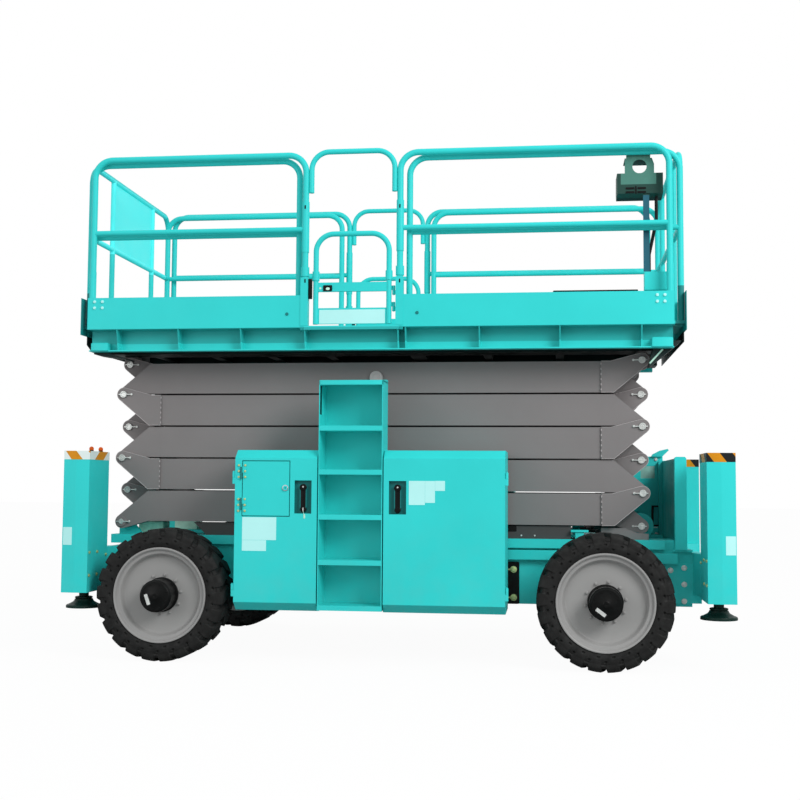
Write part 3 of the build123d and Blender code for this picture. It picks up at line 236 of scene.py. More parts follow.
def around(x, y, z, radius, count, start):
    """Points round a circle in the XZ plane, the first of them the share `start` of a step past +X."""
    angles = 2 * np.pi * (np.arange(count) + start) / count
    return [(x + radius * math.cos(a), y, z + radius * math.sin(a)) for a in angles]


def piece(name, shells, finish, body, sides=None):
    """One object of many shells, at the origin, riding on its body; edges over 32 degrees stay sharp.

    With `sides`, the shells are near-side ones, and the piece gets a set of them for each of those sides.
    """
    if sides:
        shells = [on_side(shell, side) for side in sides for shell in shells]
    base = np.cumsum([0] + [len(s[0]) for s in shells[:-1]])
    points = np.concatenate([s[0] for s in shells])
    quads = np.concatenate([s[1] + b for s, b in zip(shells, base)])
    tris = np.concatenate([s[2] + b for s, b in zip(shells, base)])
    mesh = bpy.data.meshes.new(name)
    mesh.vertices.add(len(points))
    mesh.vertices.foreach_set("co", points.astype(np.float32).ravel())
    mesh.loops.add(quads.size + tris.size)
    mesh.loops.foreach_set("vertex_index", np.concatenate([quads.ravel(), tris.ravel()]).astype(np.int32))
    mesh.polygons.add(len(quads) + len(tris))
    starts = np.concatenate([np.arange(len(quads)) * 4, len(quads) * 4 + np.arange(len(tris)) * 3])
    mesh.polygons.foreach_set("loop_start", starts.astype(np.int32))
    mesh.update(calc_edges=True)
    mesh.validate()
    mesh.shade_smooth()
    mesh.set_sharp_from_angle(angle=math.radians(32))
    obj = bpy.data.objects.new(name, mesh)
    bpy.context.scene.collection.objects.link(obj)
    mesh.materials.append(FINISHES[finish])
    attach(obj, body)
    return obj


# Finishes


class Finish:
    """Node tree of one material on Object coordinates."""

    def __init__(self, name):
        self.material = bpy.data.materials.new(name)
        self.material.use_nodes = True
        self.nodes = self.material.node_tree.nodes
        self.links = self.material.node_tree.links
        self.shader = self.nodes["Principled BSDF"]
        self.place = self.node("ShaderNodeTexCoord").outputs["Object"]

    def node(self, kind, inputs=None, **settings):
        made = self.nodes.new(kind)
        for key, value in settings.items():
            setattr(made, key, value)
        for key, value in (inputs or {}).items():
            self.feed(made.inputs[key], value)
        return made

    def feed(self, socket, value):
        if isinstance(value, bpy.types.NodeSocket):
            self.links.new(value, socket)
        else:
            socket.default_value = value

    def noise(self, scale, detail, stretch=(1, 1, 1)):
        spot = self.node("ShaderNodeMapping", {"Vector": self.place, "Scale": stretch}).outputs["Vector"]
        made = self.node("ShaderNodeTexNoise", {"Vector": spot, "Scale": scale, "Detail": detail})
        return made.outputs["Fac"]

    def math(self, operation, a, b=0.0, clamp=False):
        made = self.node("ShaderNodeMath", operation=operation, use_clamp=clamp)
        for socket, value in zip(made.inputs, (a, b)):
            self.feed(socket, value)
        return made.outputs["Value"]

    def spread(self, value, low, high, out_low=0.0, out_high=1.0):
        made = self.node("ShaderNodeMapRange", {"Value": value, "From Min": low, "From Max": high,
                                                "To Min": out_low, "To Max": out_high})
        return made.outputs["Result"]

    def mix(self, share, a, b):
        """Blend of two colours: inputs 6 and 7 and output 2 are the node's colour sockets."""
        made = self.node("ShaderNodeMix", data_type="RGBA")
        self.feed(made.inputs["Factor"], share)
        self.feed(made.inputs[6], a)
        self.feed(made.inputs[7], b)
        return made.outputs[2]

    def axes(self):
        """X, Y and Z of the place."""
        return tuple(self.node("ShaderNodeSeparateXYZ", {"Vector": self.place}).outputs)

    def above(self, value, limit):
        """1 where the value is over the limit, else 0."""
        return self.math("GREATER_THAN", value, limit)

    def below(self, value, limit):
        """1 where the value is under the limit, else 0."""
        return self.math("LESS_THAN", value, limit)

    def inside(self, value, low, high):
        """1 where the value lies between low and high, else 0."""
        return self.both(self.above(value, low), self.below(value, high))

    def both(self, *masks):
        """Product of masks."""
        product = masks[0]
        for mask in masks[1:]:
            product = self.math("MULTIPLY", product, mask)
        return product

    def bump(self, height, strength, distance):
        made = self.node("ShaderNodeBump", {"Height": height, "Strength": strength, "Distance": distance})
        self.links.new(made.outputs["Normal"], self.shader.inputs["Normal"])

    def set(self, **values):
        for key, value in values.items():
            self.feed(self.shader.inputs[key.replace("_", " ")], value)


def linear(rgb):
    """Linear colour of an sRGB colour in 0 to 1, with alpha 1."""
    rgb = np.asarray(rgb, float)
    low, high = rgb / 12.92, ((rgb + 0.055) / 1.055) ** 2.4
    return (*np.where(rgb <= 0.04045, low, high), 1.0)


def shade(colour, factor):
    """A linear colour made lighter or darker."""
    return (*[min(1.0, c * factor) for c in colour[:3]], 1.0)


TURQUOISE = linear((0.195, 0.845, 0.835))
ARM_GREY = linear((0.520, 0.500, 0.500))
RIM_GREY = linear((0.61, 0.605, 0.60))
BOX_OLIVE = linear((0.30, 0.51, 0.46))
POST_TEAL = linear((0.15, 0.38, 0.45))
STRIPE_AMBER = linear((0.86, 0.56, 0.06))
WORN_AMBER = (0.25, 0.12, 0.01, 1.0)
STRIPE_PALE = (0.80, 0.90, 0.88, 1.0)
# Near white cyan: painted light on the rear end's sheet.
PAINTED_LIGHT_SHEET = (0.10, 1.0, 1.0, 1.0)
# Near black: painted shade under the deck.
PAINTED_UNDER_SHADE = (0.006, 0.018, 0.017, 1.0)
BLACK = (0.008, 0.010, 0.010, 1.0)
DUST = (0.30, 0.33, 0.30, 1.0)


def paint(name, colour, rough=0.42, dust=0.10, specular=0.22, zones=None):
    """Sprayed coat: faint cloudy tone, fine orange peel, and a little road dust towards the ground.

    `zones` may return a list of (mask, colour) that are painted over it.
    """
    f = Finish(name)
    cloud = f.noise(1.7, 4.0)
    tone = f.mix(f.spread(cloud, 0.3, 0.7), shade(colour, 0.95), shade(colour, 1.04))
    low = f.spread(f.axes()[2], 1.1, 0.25, 0.0, dust)
    speck = f.math("MULTIPLY", low, f.spread(f.noise(9.0, 5.0), 0.35, 0.75), clamp=True)
    tone = f.mix(speck, tone, DUST)
    for mask, over in (zones(f) if zones else ()):
        tone = f.mix(mask, tone, over)
    f.set(Base_Color=tone, Specular_IOR_Level=specular)
    f.set(Roughness=f.spread(f.noise(6.0, 3.0), 0.3, 0.7, rough - 0.05, rough + 0.09))
    f.bump(f.noise(420.0, 1.0), 0.06, 0.0004)
    return f.material


def deck_zones(f):
    """Painted shade under the floor and beams and on the side webs, and the two grey hangers of the top
    pins.
    """
    x, y, z = f.axes()
    across = f.math("ABSOLUTE", y)
    web_y = 0.8035
    # Side webs at 0.66 of the body colour: painted shade under the toe boards' overhang.
    web = f.both(f.above(across, web_y), f.inside(z, 2.0995, 2.1925))
    # Underside of the floor and beams made near black: painted shade.
    under = f.both(f.below(across, web_y), f.below(z, 2.1892))
    hanger = f.both(f.inside(across, 0.380, 0.480), f.below(z, 2.046), f.below(x, -1.89))
    return [(web, shade(TURQUOISE, 0.66)), (under, PAINTED_UNDER_SHADE), (hanger, ARM_GREY)]


def door_zones(f):
    """Painted shade in the recess of each sunk handle, and the handle's black bar."""
    x, y, z = f.axes()
    depth = f.math("ABSOLUTE", y)
    zones = []
    for mid in HANDLE_X.values():
        # Recess at 0.30 of the body colour: painted shade.
        recess = f.both(f.inside(depth, 1.04, 1.1190), f.inside(z, 0.955, 1.180),
                        f.inside(x, mid - 0.062, mid + 0.062))
        bar = f.both(f.inside(depth, 1.0905, 1.1165), f.inside(z, 0.999, 1.137),
                     f.inside(x, mid - 0.016, mid + 0.016))
        zones += [(recess, shade(TURQUOISE, 0.30)), (bar, BLACK)]
    return zones


def end_zones(f):
    """Painted shade on the near and far ends of the end toe boards, and painted light on the sheet of the
    rear end, which is made brighter.
    """
    x, y, z = f.axes()
    across = f.math("ABSOLUTE", y)
    along = f.math("ABSOLUTE", x)
    # Near and far ends at 0.36 of the body colour: painted shade.
    ends = f.both(f.above(across, 0.80), f.inside(z, 2.05, 2.45), f.above(along, 1.83))
    # The rear end's sheet made near white: painted light.
    sheet = f.both(f.below(x, -1.9), f.below(across, 0.74), f.inside(z, 2.80, 3.34))
    return [(ends, shade(TURQUOISE, 0.36)), (sheet, PAINTED_LIGHT_SHEET)]


def roller_zones(f):
    """Rollers beside the lowest lugs of the inner arms, in body colour darkened as painted shade."""
    x, y, z = f.axes()
    across = f.math("ABSOLUTE", y)
    rollers = f.both(f.below(across, 0.3878), f.below(z, 0.98), f.above(x, 1.53))
    # Body colour at 0.55: painted shade.
    return [(rollers, shade(TURQUOISE, 0.55))]


def box_zones(f):
    """Dark case with a lighter front plate, a teal post, a black cable and a body-coloured cover."""
    x, y, z = f.axes()
    front = f.below(y, -0.8055)
    face = f.both(front, f.above(z, 3.131), f.inside(x, 1.490, 1.719))
    bracket = f.both(front, f.above(z, 3.206))
    low = f.below(z, 3.0595)
    post = f.both(low, f.below(y, -0.79))
    cable = f.both(low, f.above(y, -0.79))
    cover = f.below(z, 2.5515)
    return [(face, BOX_OLIVE), (bracket, BOX_OLIVE), (post, POST_TEAL), (cable, BLACK), (cover, TURQUOISE)]


def metal(name, colour, rough, streak=(1, 1, 1), metallic=1.0):
    """Plated or machined metal: small blotches of tone and roughness, drawn out along the streak."""
    f = Finish(name)
    blotch = f.noise(60.0, 3.0, streak)
    tone = f.mix(f.spread(blotch, 0.3, 0.7), shade(colour, 0.82), shade(colour, 1.08))
    f.set(Base_Color=tone, Metallic=metallic)
    f.set(Roughness=f.spread(f.noise(150.0, 2.0, streak), 0.3, 0.7, rough - 0.08, rough + 0.12))
    f.bump(blotch, 0.05, 0.0003)
    return f.material


def rubber(name, colour):
    """Solid tyre rubber: dull, grained, greyer where it has scuffed."""
    f = Finish(name)
    scuff = f.spread(f.noise(14.0, 5.0), 0.42, 0.75)
    f.set(Base_Color=f.mix(scuff, colour, shade(colour, 2.3)), Specular_IOR_Level=0.28)
    f.set(Roughness=f.spread(f.noise(30.0, 3.0), 0.3, 0.7, 0.62, 0.85))
    f.bump(f.noise(260.0, 3.0), 0.25, 0.0008)
    return f.material


def plastic(name, colour, rough):
    """Moulded part with a fine grained skin."""
    f = Finish(name)
    tone = f.mix(f.spread(f.noise(20.0, 3.0), 0.3, 0.7), shade(colour, 0.85), shade(colour, 1.15))
    f.set(Base_Color=tone, Specular_IOR_Level=0.15)
    f.set(Roughness=f.spread(f.noise(40.0, 2.0), 0.3, 0.7, rough - 0.07, rough + 0.07))
    f.bump(f.noise(900.0, 1.0), 0.12, 0.0003)
    return f.material


def cap_stripes(name):
    """Bands of two paints slanted down to the right, 78 mm of amber in every 153 mm.

    The other paint is black, and pale on the near rear corner; the phase differs between the two ends.
    """
    f = Finish(name)
    x, y, z = f.axes()
    rear = f.below(x, 0.0)
    slope = f.math("MULTIPLY", z, 0.75)
    turn = f.math("MULTIPLY", f.math("ABSOLUTE", y), 0.5)
    phase = f.math("MULTIPLY", rear, 0.004)
    run = f.math("ADD", f.math("ADD", f.math("ADD", x, slope), turn), phase)
    start, period = 1.637, 0.153
    share = f.math("FRACT", f.math("DIVIDE", f.math("ADD", run, start), period))
    edge = f.spread(share, 0.50, 0.515)
    wear = f.spread(f.noise(35.0, 4.0), 0.35, 0.7, 0.85, 1.1)
    amber = f.mix(wear, WORN_AMBER, STRIPE_AMBER)
    other = f.mix(f.both(rear, f.below(y, 0.0)), BLACK, STRIPE_PALE)
    f.set(Base_Color=f.mix(edge, amber, other), Specular_IOR_Level=0.2)
    f.set(Roughness=f.spread(f.noise(20.0, 3.0), 0.3, 0.7, 0.35, 0.5))
    return f.material


COLOUR = {"subtype": "COLOR", "size": 4, "min": 0, "max": 1}
LENGTH = {"subtype": "DISTANCE", "unit": "LENGTH", "min": 0.0}


class LiftColours(bpy.types.PropertyGroup):
    """Colours a user would change."""

    body: bpy.props.FloatVectorProperty(
        name="Body paint", description="Colour of chassis, cabinets and platform",
        default=TURQUOISE, **COLOUR)
    arms: bpy.props.FloatVectorProperty(
        name="Arm paint", description="Colour of the scissor arms", default=ARM_GREY, **COLOUR)
    rims: bpy.props.FloatVectorProperty(
        name="Rim paint", description="Colour of the wheel rims", default=RIM_GREY, **COLOUR)


class LiftSizes(bpy.types.PropertyGroup):
    """Sizes of the fittings a user would change."""

    lugs: bpy.props.IntProperty(
        name="Tread lugs", description="Lugs round each shoulder of a tyre", default=22, min=8)
    lug_depth: bpy.props.FloatProperty(
        name="Lug depth", description="Depth of the tread", default=0.021, **LENGTH)
    stud_circle: bpy.props.FloatProperty(
        name="Stud circle", description="Radius of the wheel studs' circle", default=0.128, **LENGTH)
    pin_head: bpy.props.FloatProperty(
        name="Pin head", description="Radius of an arm pin's head", default=0.024, **LENGTH)


FINISHES = {}


def make_finishes():
    """Every finish once, from the user's colours."""
    colours = bpy.context.scene.lift_colours
    body, arms, rims = (tuple(c) for c in (colours.body, colours.arms, colours.rims))
    FINISHES.update(
        body=paint("body_paint", body),
        deck=paint("deck_paint", body, zones=deck_zones),
        door=paint("door_paint", body, zones=door_zones),
        ends=paint("end_paint", body, zones=end_zones),
        shade=paint("shaded_paint", shade(body, 0.30)),
        arms=paint("arm_paint", arms, 0.5, 0.02, 0.2),
        first=paint("first_arm_paint", arms, 0.5, 0.02, 0.2, roller_zones),
        barrel=paint("barrel_paint", shade(arms, 0.5), 0.5, 0.02, 0.2),
        rims=paint("rim_paint", rims, 0.4, 0.08, 0.3),
        # Light grey: painted highlight on the cheek edges, and the colour of the welded runs and centre pin
        # heads.
        weld=paint("weld_bead", shade(arms, 2.1), 0.5, 0.0, 0.2),
        rubber=rubber("tyre_rubber", linear((0.075, 0.076, 0.074))),
        black=plastic("black_coat", linear((0.020, 0.024, 0.024)), 0.38),
        foot=plastic("foot_coat", linear((0.07, 0.17, 0.15)), 0.42),
        steel=metal("zinc_plate", linear((0.86, 0.87, 0.86)), 0.35, metallic=0.5),
        brass=metal("yellow_zinc", linear((0.74, 0.80, 0.56)), 0.4, metallic=0.5),
        chrome=metal("rod_chrome", linear((0.85, 0.86, 0.88)), 0.12, (1, 12, 12)),
        dark=paint("dark_steel", linear((0.10, 0.16, 0.16)), 0.55, 0.1, 0.3),
        rest=paint("rest_coat", linear((0.30, 0.29, 0.29)), 0.6, 0.0, 0.2),
        box=paint("box_plastic", linear((0.13, 0.27, 0.24)), 0.5, 0.0, 0.2, box_zones),
        haze=plastic("clouded_pane", linear((0.60, 0.80, 0.76)), 0.4),
        film=paint("blank_film", linear((0.74, 0.98, 0.97)), 0.5, 0.0, 0.2),
        pale=plastic("pale_cover", linear((0.78, 0.95, 0.87)), 0.5),
        orange=plastic("orange_cap", linear((0.85, 0.36, 0.08)), 0.4),
        stripes=cap_stripes("cap_stripes"),
    )


# Finish of each solid: its own, or else its family's by the start of its name, or else the body paint.
SOLID_FINISHES = {
    "tie_rod": "dark", "rear_axle": "dark", "front_axle": "dark", "knuckle_near": "dark",
    "knuckle_far": "dark", "power_blocks": "dark", "arm_rests": "rest", "control_box": "box",
    "lower_rod": "chrome", "upper_rod": "chrome", "lower_barrel": "barrel", "upper_barrel": "barrel",
    "deck_frame": "deck", "inner_frame_1": "first", "extension_rear": "ends", "extension_front": "ends",
}
FAMILY_FINISHES = {
    "outer_frame": "arms", "inner_frame": "arms", "rim_": "rims", "tyre_": "rubber", "leg_": "foot",
    "door_": "door",
}


def finish_of(node):
    """Name of the finish that a solid of the frame gets."""
    family = (finish for start, finish in FAMILY_FINISHES.items() if node.startswith(start))
    return SOLID_FINISHES.get(node) or next(family, "body")


class LIFT_OT_finishes(bpy.types.Operator):
    """Paint every solid of the frame"""

    bl_idname = "lift.finishes"
    bl_label = "Finishes"

    def execute(self, context):
        make_finishes()
        for node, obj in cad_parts.items():
            obj.data.materials.clear()
            obj.data.materials.append(FINISHES[finish_of(node)])
        return {"FINISHED"}


# Wheels


# Radius of a tyre's seat and of its shoulders, and how much narrower than the solid its carcass is.
TYRE_SEAT, SHOULDER_R, SHOULDER_ROOM = 0.302, 0.030, 0.016

# Round pockets in each ring of a sidewall: how many, their radius and depth, and their sloped edge's width.
POCKETS, POCKET_R, POCKET_DEPTH, POCKET_BEVEL = 22, 0.0085, 0.010, 0.004


def tyre_shell(centre, width, radius, side, lugs, depth):
    """Torus of a closed profile over the turn angle.

    Each shoulder's lugs are a block wave of the angle, slanted with the distance from the middle and half a
    step apart on the two sides; the wave adds `depth` to the radius, and fades down the shoulders. Two
    rings of small round pockets sink the sidewalls.
    """
    base = radius - depth
    half = width / 2

    # One lug's step in shares, closest together on the two flanks, where the wave rises and falls.
    cell = np.array([0, 0.10, 0.135, 0.16, 0.20, 0.28, 0.36, 0.44, 0.52, 0.60, 0.68, 0.75, 0.80, 0.825,
                     0.86, 0.93])
    step = 2 * np.pi / lugs
    turn = (np.arange(lugs)[:, None] + cell[None]).ravel() * step
    raised = np.tile(np.interp(cell, [0.10, 0.16, 0.80, 0.86], [0, 1, 1, 0]), lugs)

    # The right half of the profile from the seat up the bulged wall and over the shoulder to the middle.
    wall = np.linspace(0, 1, 17)
    foot, top = TYRE_SEAT + 0.006, base - SHOULDER_R
    bulge = np.stack([half - 0.006 + 0.012 * np.sin(np.pi * wall * 0.9), foot + (top - foot) * wall], -1)
    arc = np.linspace(0, np.pi / 2, 6)[1:]
    shoulder = np.stack([half - 0.028 + SHOULDER_R * np.cos(arc), top + SHOULDER_R * np.sin(arc)], -1)
    tread = np.stack([np.linspace(half - 0.04, 0, 9), np.full(9, base)], -1)
    right = np.concatenate([[[half - 0.030, TYRE_SEAT]], bulge, shoulder, tread])
    left = right[-2::-1] * np.array([-1, 1])
    profile = np.concatenate([right, left])
    across, r = profile[:, 0], profile[:, 1]

    # The lugs grow outwards on the tread and sideways on the shoulders, and the slant shears them.
    share = np.clip((r - (base - 0.055)) / 0.03, 0, 1)
    lean = np.abs(across) / half
    slant = step * (0.42 * lean - 0.25 * np.clip(across / 0.02, -1, 1))
    angle = turn[:, None] + slant[None]
    lift = raised[:, None] * share[None] * depth
    rise = np.clip((r - (base - 0.032)) / 0.03, 0, 1)
    grown = r[None] + lift * rise[None]
    spread = across[None] + np.sign(across)[None] * lift * 0.32 * (1 - 0.6 * rise[None])
    on_wall = (np.abs(across) > half - 0.02) & (r < top)
    for ring_r, stagger in ((TYRE_SEAT + 0.030, 0), (TYRE_SEAT + 0.058, 0.5)):
        phase = np.mod(angle * POCKETS / (2 * np.pi) + stagger, 1.0) - 0.5
        gap = np.hypot(phase * 2 * np.pi * ring_r / POCKETS, grown - ring_r)
        sink = np.clip((POCKET_R - gap) / POCKET_BEVEL, 0, 1) * POCKET_DEPTH * on_wall[None]
        spread = spread - np.sign(across)[None] * sink
    points = np.stack([centre[0] + grown * np.sin(angle), centre[1] + side * spread,
                       centre[2] + grown * np.cos(angle)], -1)
    rows, cols = angle.shape
    return outward((points.reshape(-1, 3), grid_quads(rows, cols, True), np.zeros((0, 3), int)))


class LIFT_OT_tyres(bpy.types.Operator):
    """Make the four lugged tyres"""

    bl_idname = "lift.tyres"
    bl_label = "Tyres"

    def execute(self, context):
        sizes = context.scene.lift_sizes
        for end in ENDS:
            for side, sign in SIDES.items():
                node = f"tyre_{end}_{side}"
                lo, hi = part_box(node)
                shell = tyre_shell((lo + hi) / 2, hi.y - lo.y - SHOULDER_ROOM, (hi.z - lo.z) / 2, sign,
                                   sizes.lugs, sizes.lug_depth)
                made = piece(f"tread_{end}_{side}", [shell], "rubber", f"wheel_{end}_{side}")
                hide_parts(node)
        return {"FINISHED"}


# Rim and hub sections as (radius, distance from the middle plane), and each hub plate's (place, up).
RIM_PROFILE = [(0.3015, 1.114), (0.3075, 1.118), (0.308, 1.131), (0.3055, 1.136), (0.2995, 1.1362),
               (0.294, 1.133), (0.289, 1.122), (0.283, 1.1165), (0.277, 1.1155), (0.268, 1.1135),
               (0.2625, 1.108), (0.2585, 1.098), (0.2535, 1.084), (0.247, 1.0775), (0.238, 1.0745),
               (0.19, 1.0745), (0.13, 1.0735), (0.10, 1.0735), (0.10, 1.052), (0.24, 1.05), (0.265, 0.95),
               (0.268, 0.866), (0.3015, 0.866), (0.3015, 0.99)]
DRUM_PROFILE = [(0.112, 1.073), (0.112, 1.0855), (0.103, 1.0875), (0.1015, 1.13), (0.1035, 1.132),
                (0.1035, 1.206), (0.0985, 1.2125), (0.094, 1.2135), (0.090, 1.2175), (0.022, 1.218),
                (0.018, 1.2205), (0.006, 1.2205), (0.004, 1.219)]
HUB_PLATES = {"rear": ((-0.050, -0.021), (0.94, 0, 0.33)), "front": ((-0.033, -0.048), (0.60, 0, 0.80))}


class LIFT_OT_hubs(bpy.types.Operator):
    """Fit the dished rims, hub drums, studs and blank plates"""

    bl_idname = "lift.hubs"
    bl_label = "Rims and hubs"

    def execute(self, context):
        circle = context.scene.lift_sizes.stud_circle
        for end in ENDS:
            for side in SIDES:
                node = f"rim_{end}_{side}"
                body = f"wheel_{end}_{side}"
                lo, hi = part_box(node)
                x, z = (lo.x + hi.x) / 2, (lo.z + hi.z) / 2
                rim = place(band(RIM_PROFILE, 96), (x, 0, z))
                made = piece(f"dish_{end}_{side}", [rim], "rims", body, [side])
                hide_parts(node)
                hub = [place(turned(DRUM_PROFILE, 64), (x, 0, z))]
                for spot in around(x, -1.2172, z, 0.078, 8, 0.5):
                    hub.append(place(disc(0.0065, 0.0025, 0.0008, 10), spot))
                piece(f"hub_{end}_{side}", hub, "black", body, [side])
                studs = []
                for spot in around(x, -1.0725, z, circle, 10, 0.25):
                    studs += [place(bolt(0.0095), spot), place(disc(0.0055, 0.020, 0.001, 10), spot)]
                piece(f"studs_{end}_{side}", studs, "rims", body, [side])
                (dx, dz), up = HUB_PLATES[end]
                tag = place(plate(0.070, 0.022, 0.0012, 0.002), (x + dx, -1.2176, z + dz), (0, -1, 0), up)
                piece(f"hub_plate_{end}_{side}", [tag], "steel", body, [side])
        return {"FINISHED"}


# Scissor arms


# Distances back from a top pin: its cheek's start, and where the low and high edges turn to the round lug.
CHEEK_START, LOW_FOOT, HIGH_FOOT = 0.270, 0.186, 0.205
LUG_R = 0.047
CENTRE_HEAD = [(0.0445, 0), (0.0445, 0.0215), (0.0425, 0.0235), (0.026, 0.024), (0.024, 0.0215),
               (0.010, 0.0215)]


def tangent(px, pz, cx, cz, r, side):
    """Where a line from (px, pz) touches the circle of radius r round (cx, cz)."""
    angle = math.atan2(pz - cz, px - cx) + side * math.acos(r / math.hypot(px - cx, pz - cz))
    return cx + r * math.cos(angle), cz + r * math.sin(angle)


def cheek_outline():
    """Edge of a top cheek in its arm's own frame, from its lower left corner, round the pin and back."""
    low, high = 0.006, PITCH - 0.006
    under = tangent(SPAN - LOW_FOOT, low, SPAN, PITCH, LUG_R, 1)
    heel = tangent(SPAN - HIGH_FOOT, high, SPAN, PITCH, LUG_R, -1)
    a0 = math.atan2(under[1] - PITCH, under[0] - SPAN)
    a1 = math.atan2(heel[1] - PITCH, heel[0] - SPAN)
    turn = [(SPAN + LUG_R * math.cos(a), PITCH + LUG_R * math.sin(a)) for a in np.linspace(a0, a1, 14)]
    return [(SPAN - CHEEK_START, low), (SPAN - LOW_FOOT, low), *turn, (SPAN - HIGH_FOOT, high),
            (SPAN - CHEEK_START, high)]


def arm_start(level, from_left):
    """Start and sense of an arm: its local (u, v) lies at x0 + sense * u, z0 + v."""
    x0, sense = (LEFT_X, 1) if from_left else (RIGHT_X, -1)
    return x0, sense, ROW_Z + (level - 1) * PITCH


def keeper(x, z, y, sense, head):
    """Pin head ring on the face at y, with its keeper bar and a bolt 57 mm back along the arm."""
    hole = head - 0.009
    ring = band([(hole, 0), (head, 0), (head, 0.004), (head - 0.002, 0.0065), (head - 0.007, 0.0065),
                 (hole, 0.004)], 28)
    back = -sense * 0.057
    bar_lo, bar_hi = sorted((x + back, x + sense * 0.034))
    return [place(ring, (x, y, z)), place(disc(hole, 0.0035, 0.001, 24), (x, y, z)),
            box((bar_lo, y - 0.0055, z - 0.0035), (bar_hi, y + 0.007, z + 0.0035), 0.001),
            place(bolt(0.0068, 1.2), (x + back, y + 0.004, z))]


def highlight_and_weld_runs(x0, sense, z0, y):
    """Painted highlight along a cheek's edge as a thin light tube, and short welded runs down its straight
    edge.
    """
    shells = [tube([(x0 + sense * u, y, z0 + v) for u, v in cheek_outline()], 0.0019, 8)]
    x = x0 + sense * (SPAN - CHEEK_START)
    for v in np.linspace(0.018, PITCH - 0.030, 6):
        shells.append(tube([(x, y, z0 + v), (x, y, z0 + v + 0.013)], 0.0036, 8))
    return shells


class LIFT_OT_arms(bpy.types.Operator):
    """Fit pin keepers, painted highlights along the cheek edges, and centre pin heads to the arms"""

    bl_idname = "lift.arms"
    bl_label = "Arm fittings"

    def execute(self, context):
        head = context.scene.lift_sizes.pin_head
        for level in range(1, 6):
            odd = level % 2 == 1
            for kind, from_left, y in (("outer", odd, OUTER_ARM_Y), ("inner", not odd, INNER_ARM_Y)):
                x0, sense, z0 = arm_start(level, from_left)
                body = f"{kind}_{level}"
                pins = keeper(x0 + sense * SPAN, z0 + PITCH, y - 0.008, sense, head)
                piece(f"keepers_{body}", pins, "steel", body, SIDES)
                # A thin light tube along each cheek's edge is a painted highlight.
                piece(f"edges_{body}", highlight_and_weld_runs(x0, sense, z0, y), "weld", body, SIDES)
            middle = ((LEFT_X + RIGHT_X) / 2, -0.600, ROW_Z + (level - 0.5) * PITCH)
            cap = place(turned(CENTRE_HEAD, 36), middle)
            piece(f"centre_heads_{level}", [cap], "weld", f"outer_{level}", SIDES)
        piece("keepers_first_rollers", keeper(RIGHT_X, ROW_Z, -0.4735, 1, head), "steel", "inner_1", SIDES)
        piece("keepers_chassis", keeper(LEFT_X, ROW_Z, -0.6100, -1, 0.018), "steel", "chassis", SIDES)
        cap = place(disc(0.0342, 0.0105, 0.001, 36), (LEFT_X, -0.600, ROW_Z))
        piece("pin_caps_chassis", [cap], "arms", "chassis", SIDES)
        return {"FINISHED"}


# Platform


class LIFT_OT_platform(bpy.types.Operator):
    """Fit bolts, plugs, latches, slots, end blocks and guards to the platform"""

    bl_idname = "lift.platform"
    bl_label = "Platform fittings"

    def execute(self, context):
        bolts = [place(bolt(0.0085, 1.2), (x, TOE_Y, z))
                 for x in (-2.054, -1.999, 1.711, 1.759) for z in (2.338, 2.380)]
        piece("toe_bolts", bolts, "film", "platform", SIDES)
        plugs = [place(disc(0.011, 0.005, 0.002, 20), (x, TOE_Y, 2.282)) for x in (-0.717, 0.157)]
        piece("toe_plugs", plugs, "shade", "platform", SIDES)
        slots = [place(plate(0.009, 0.026, 0.0016, 0.004), spot)
                 for spot in ((-0.602, -0.9118, 3.004), (0.038, -0.9118, 2.998),
                              (-0.596, -0.9186, 2.503), (0.040, -0.9186, 2.496))]
        piece("sleeve_slots", slots, "black", "platform", SIDES)
        blocks = [box((-2.086, -0.887, 2.0455), (-1.966, -0.805, 2.104), 0.006),
                  box((1.678, -0.887, 2.0455), (1.812, -0.805, 2.111), 0.006)]
        piece("end_blocks", blocks, "body", "platform", SIDES)
        guards = [slab([(1.869, 2.098), (1.869, 2.090), (1.674, 1.930), (1.664, 1.937), (1.692, 2.044),
                        (1.700, 2.098)], -0.80, -0.64),
                  slab([(-2.096, 2.044), (-2.096, 2.034), (-1.870, 1.998), (-1.868, 2.006), (-2.0, 2.044)],
                       -0.80, -0.62)]
        piece("end_guards", guards, "dark", "platform")
        bar = tube([(1.752, -0.806, 2.040), (1.668, -0.806, 1.948)], 0.006, 10)
        piece("guard_bar", [bar], "pale", "platform")
        strip = box((1.045, -0.9165, 2.405), (1.590, -0.904, 2.417), 0.004)
        piece("toe_strip", [strip], "black", "platform", SIDES)
        spacer = box((-0.5775, -0.905, 2.385), (-0.552, -0.880, 2.519), 0.003)
        piece("post_spacers", [spacer], "black", "platform", SIDES)
        latch = place(plate(0.060, 0.040, 0.006, 0.006), (-0.445, -0.9015, 2.454))
        window = [place(plate(0.026, 0.017, 0.0015, 0.008), (-0.443, -0.9074, 2.450)),
                  place(disc(0.0075, 0.002, 0.0005, 16), (-0.495, -0.9015, 2.454))]
        film = place(plate(0.443, 0.093, 0.0012, 0.003), (-0.2805, -0.8938, 2.2635))
        for side in SIDES:
            piece(f"latch_{side}", [latch], "black", f"gate_{side}", [side])
            piece(f"latch_window_{side}", window, "pale", f"gate_{side}", [side])
            piece(f"gate_plate_{side}", [film], "film", f"gate_{side}", [side])
        skirt = box((1.8862, -0.80, 2.088), (1.8905, 0.80, 2.158), 0.001)
        piece("front_skirt", [skirt], "dark", "extension_front")
        rear = [box((-2.1505, -0.80, 2.096), (-2.1462, 0.80, 2.158), 0.001),
                slab([(-2.1505, 2.100), (-2.1460, 2.100), (-2.108, 2.052), (-2.112, 2.047)], -0.80, 0.80)]
        piece("rear_skirt", rear, "dark", "extension_rear")
        return {"FINISHED"}


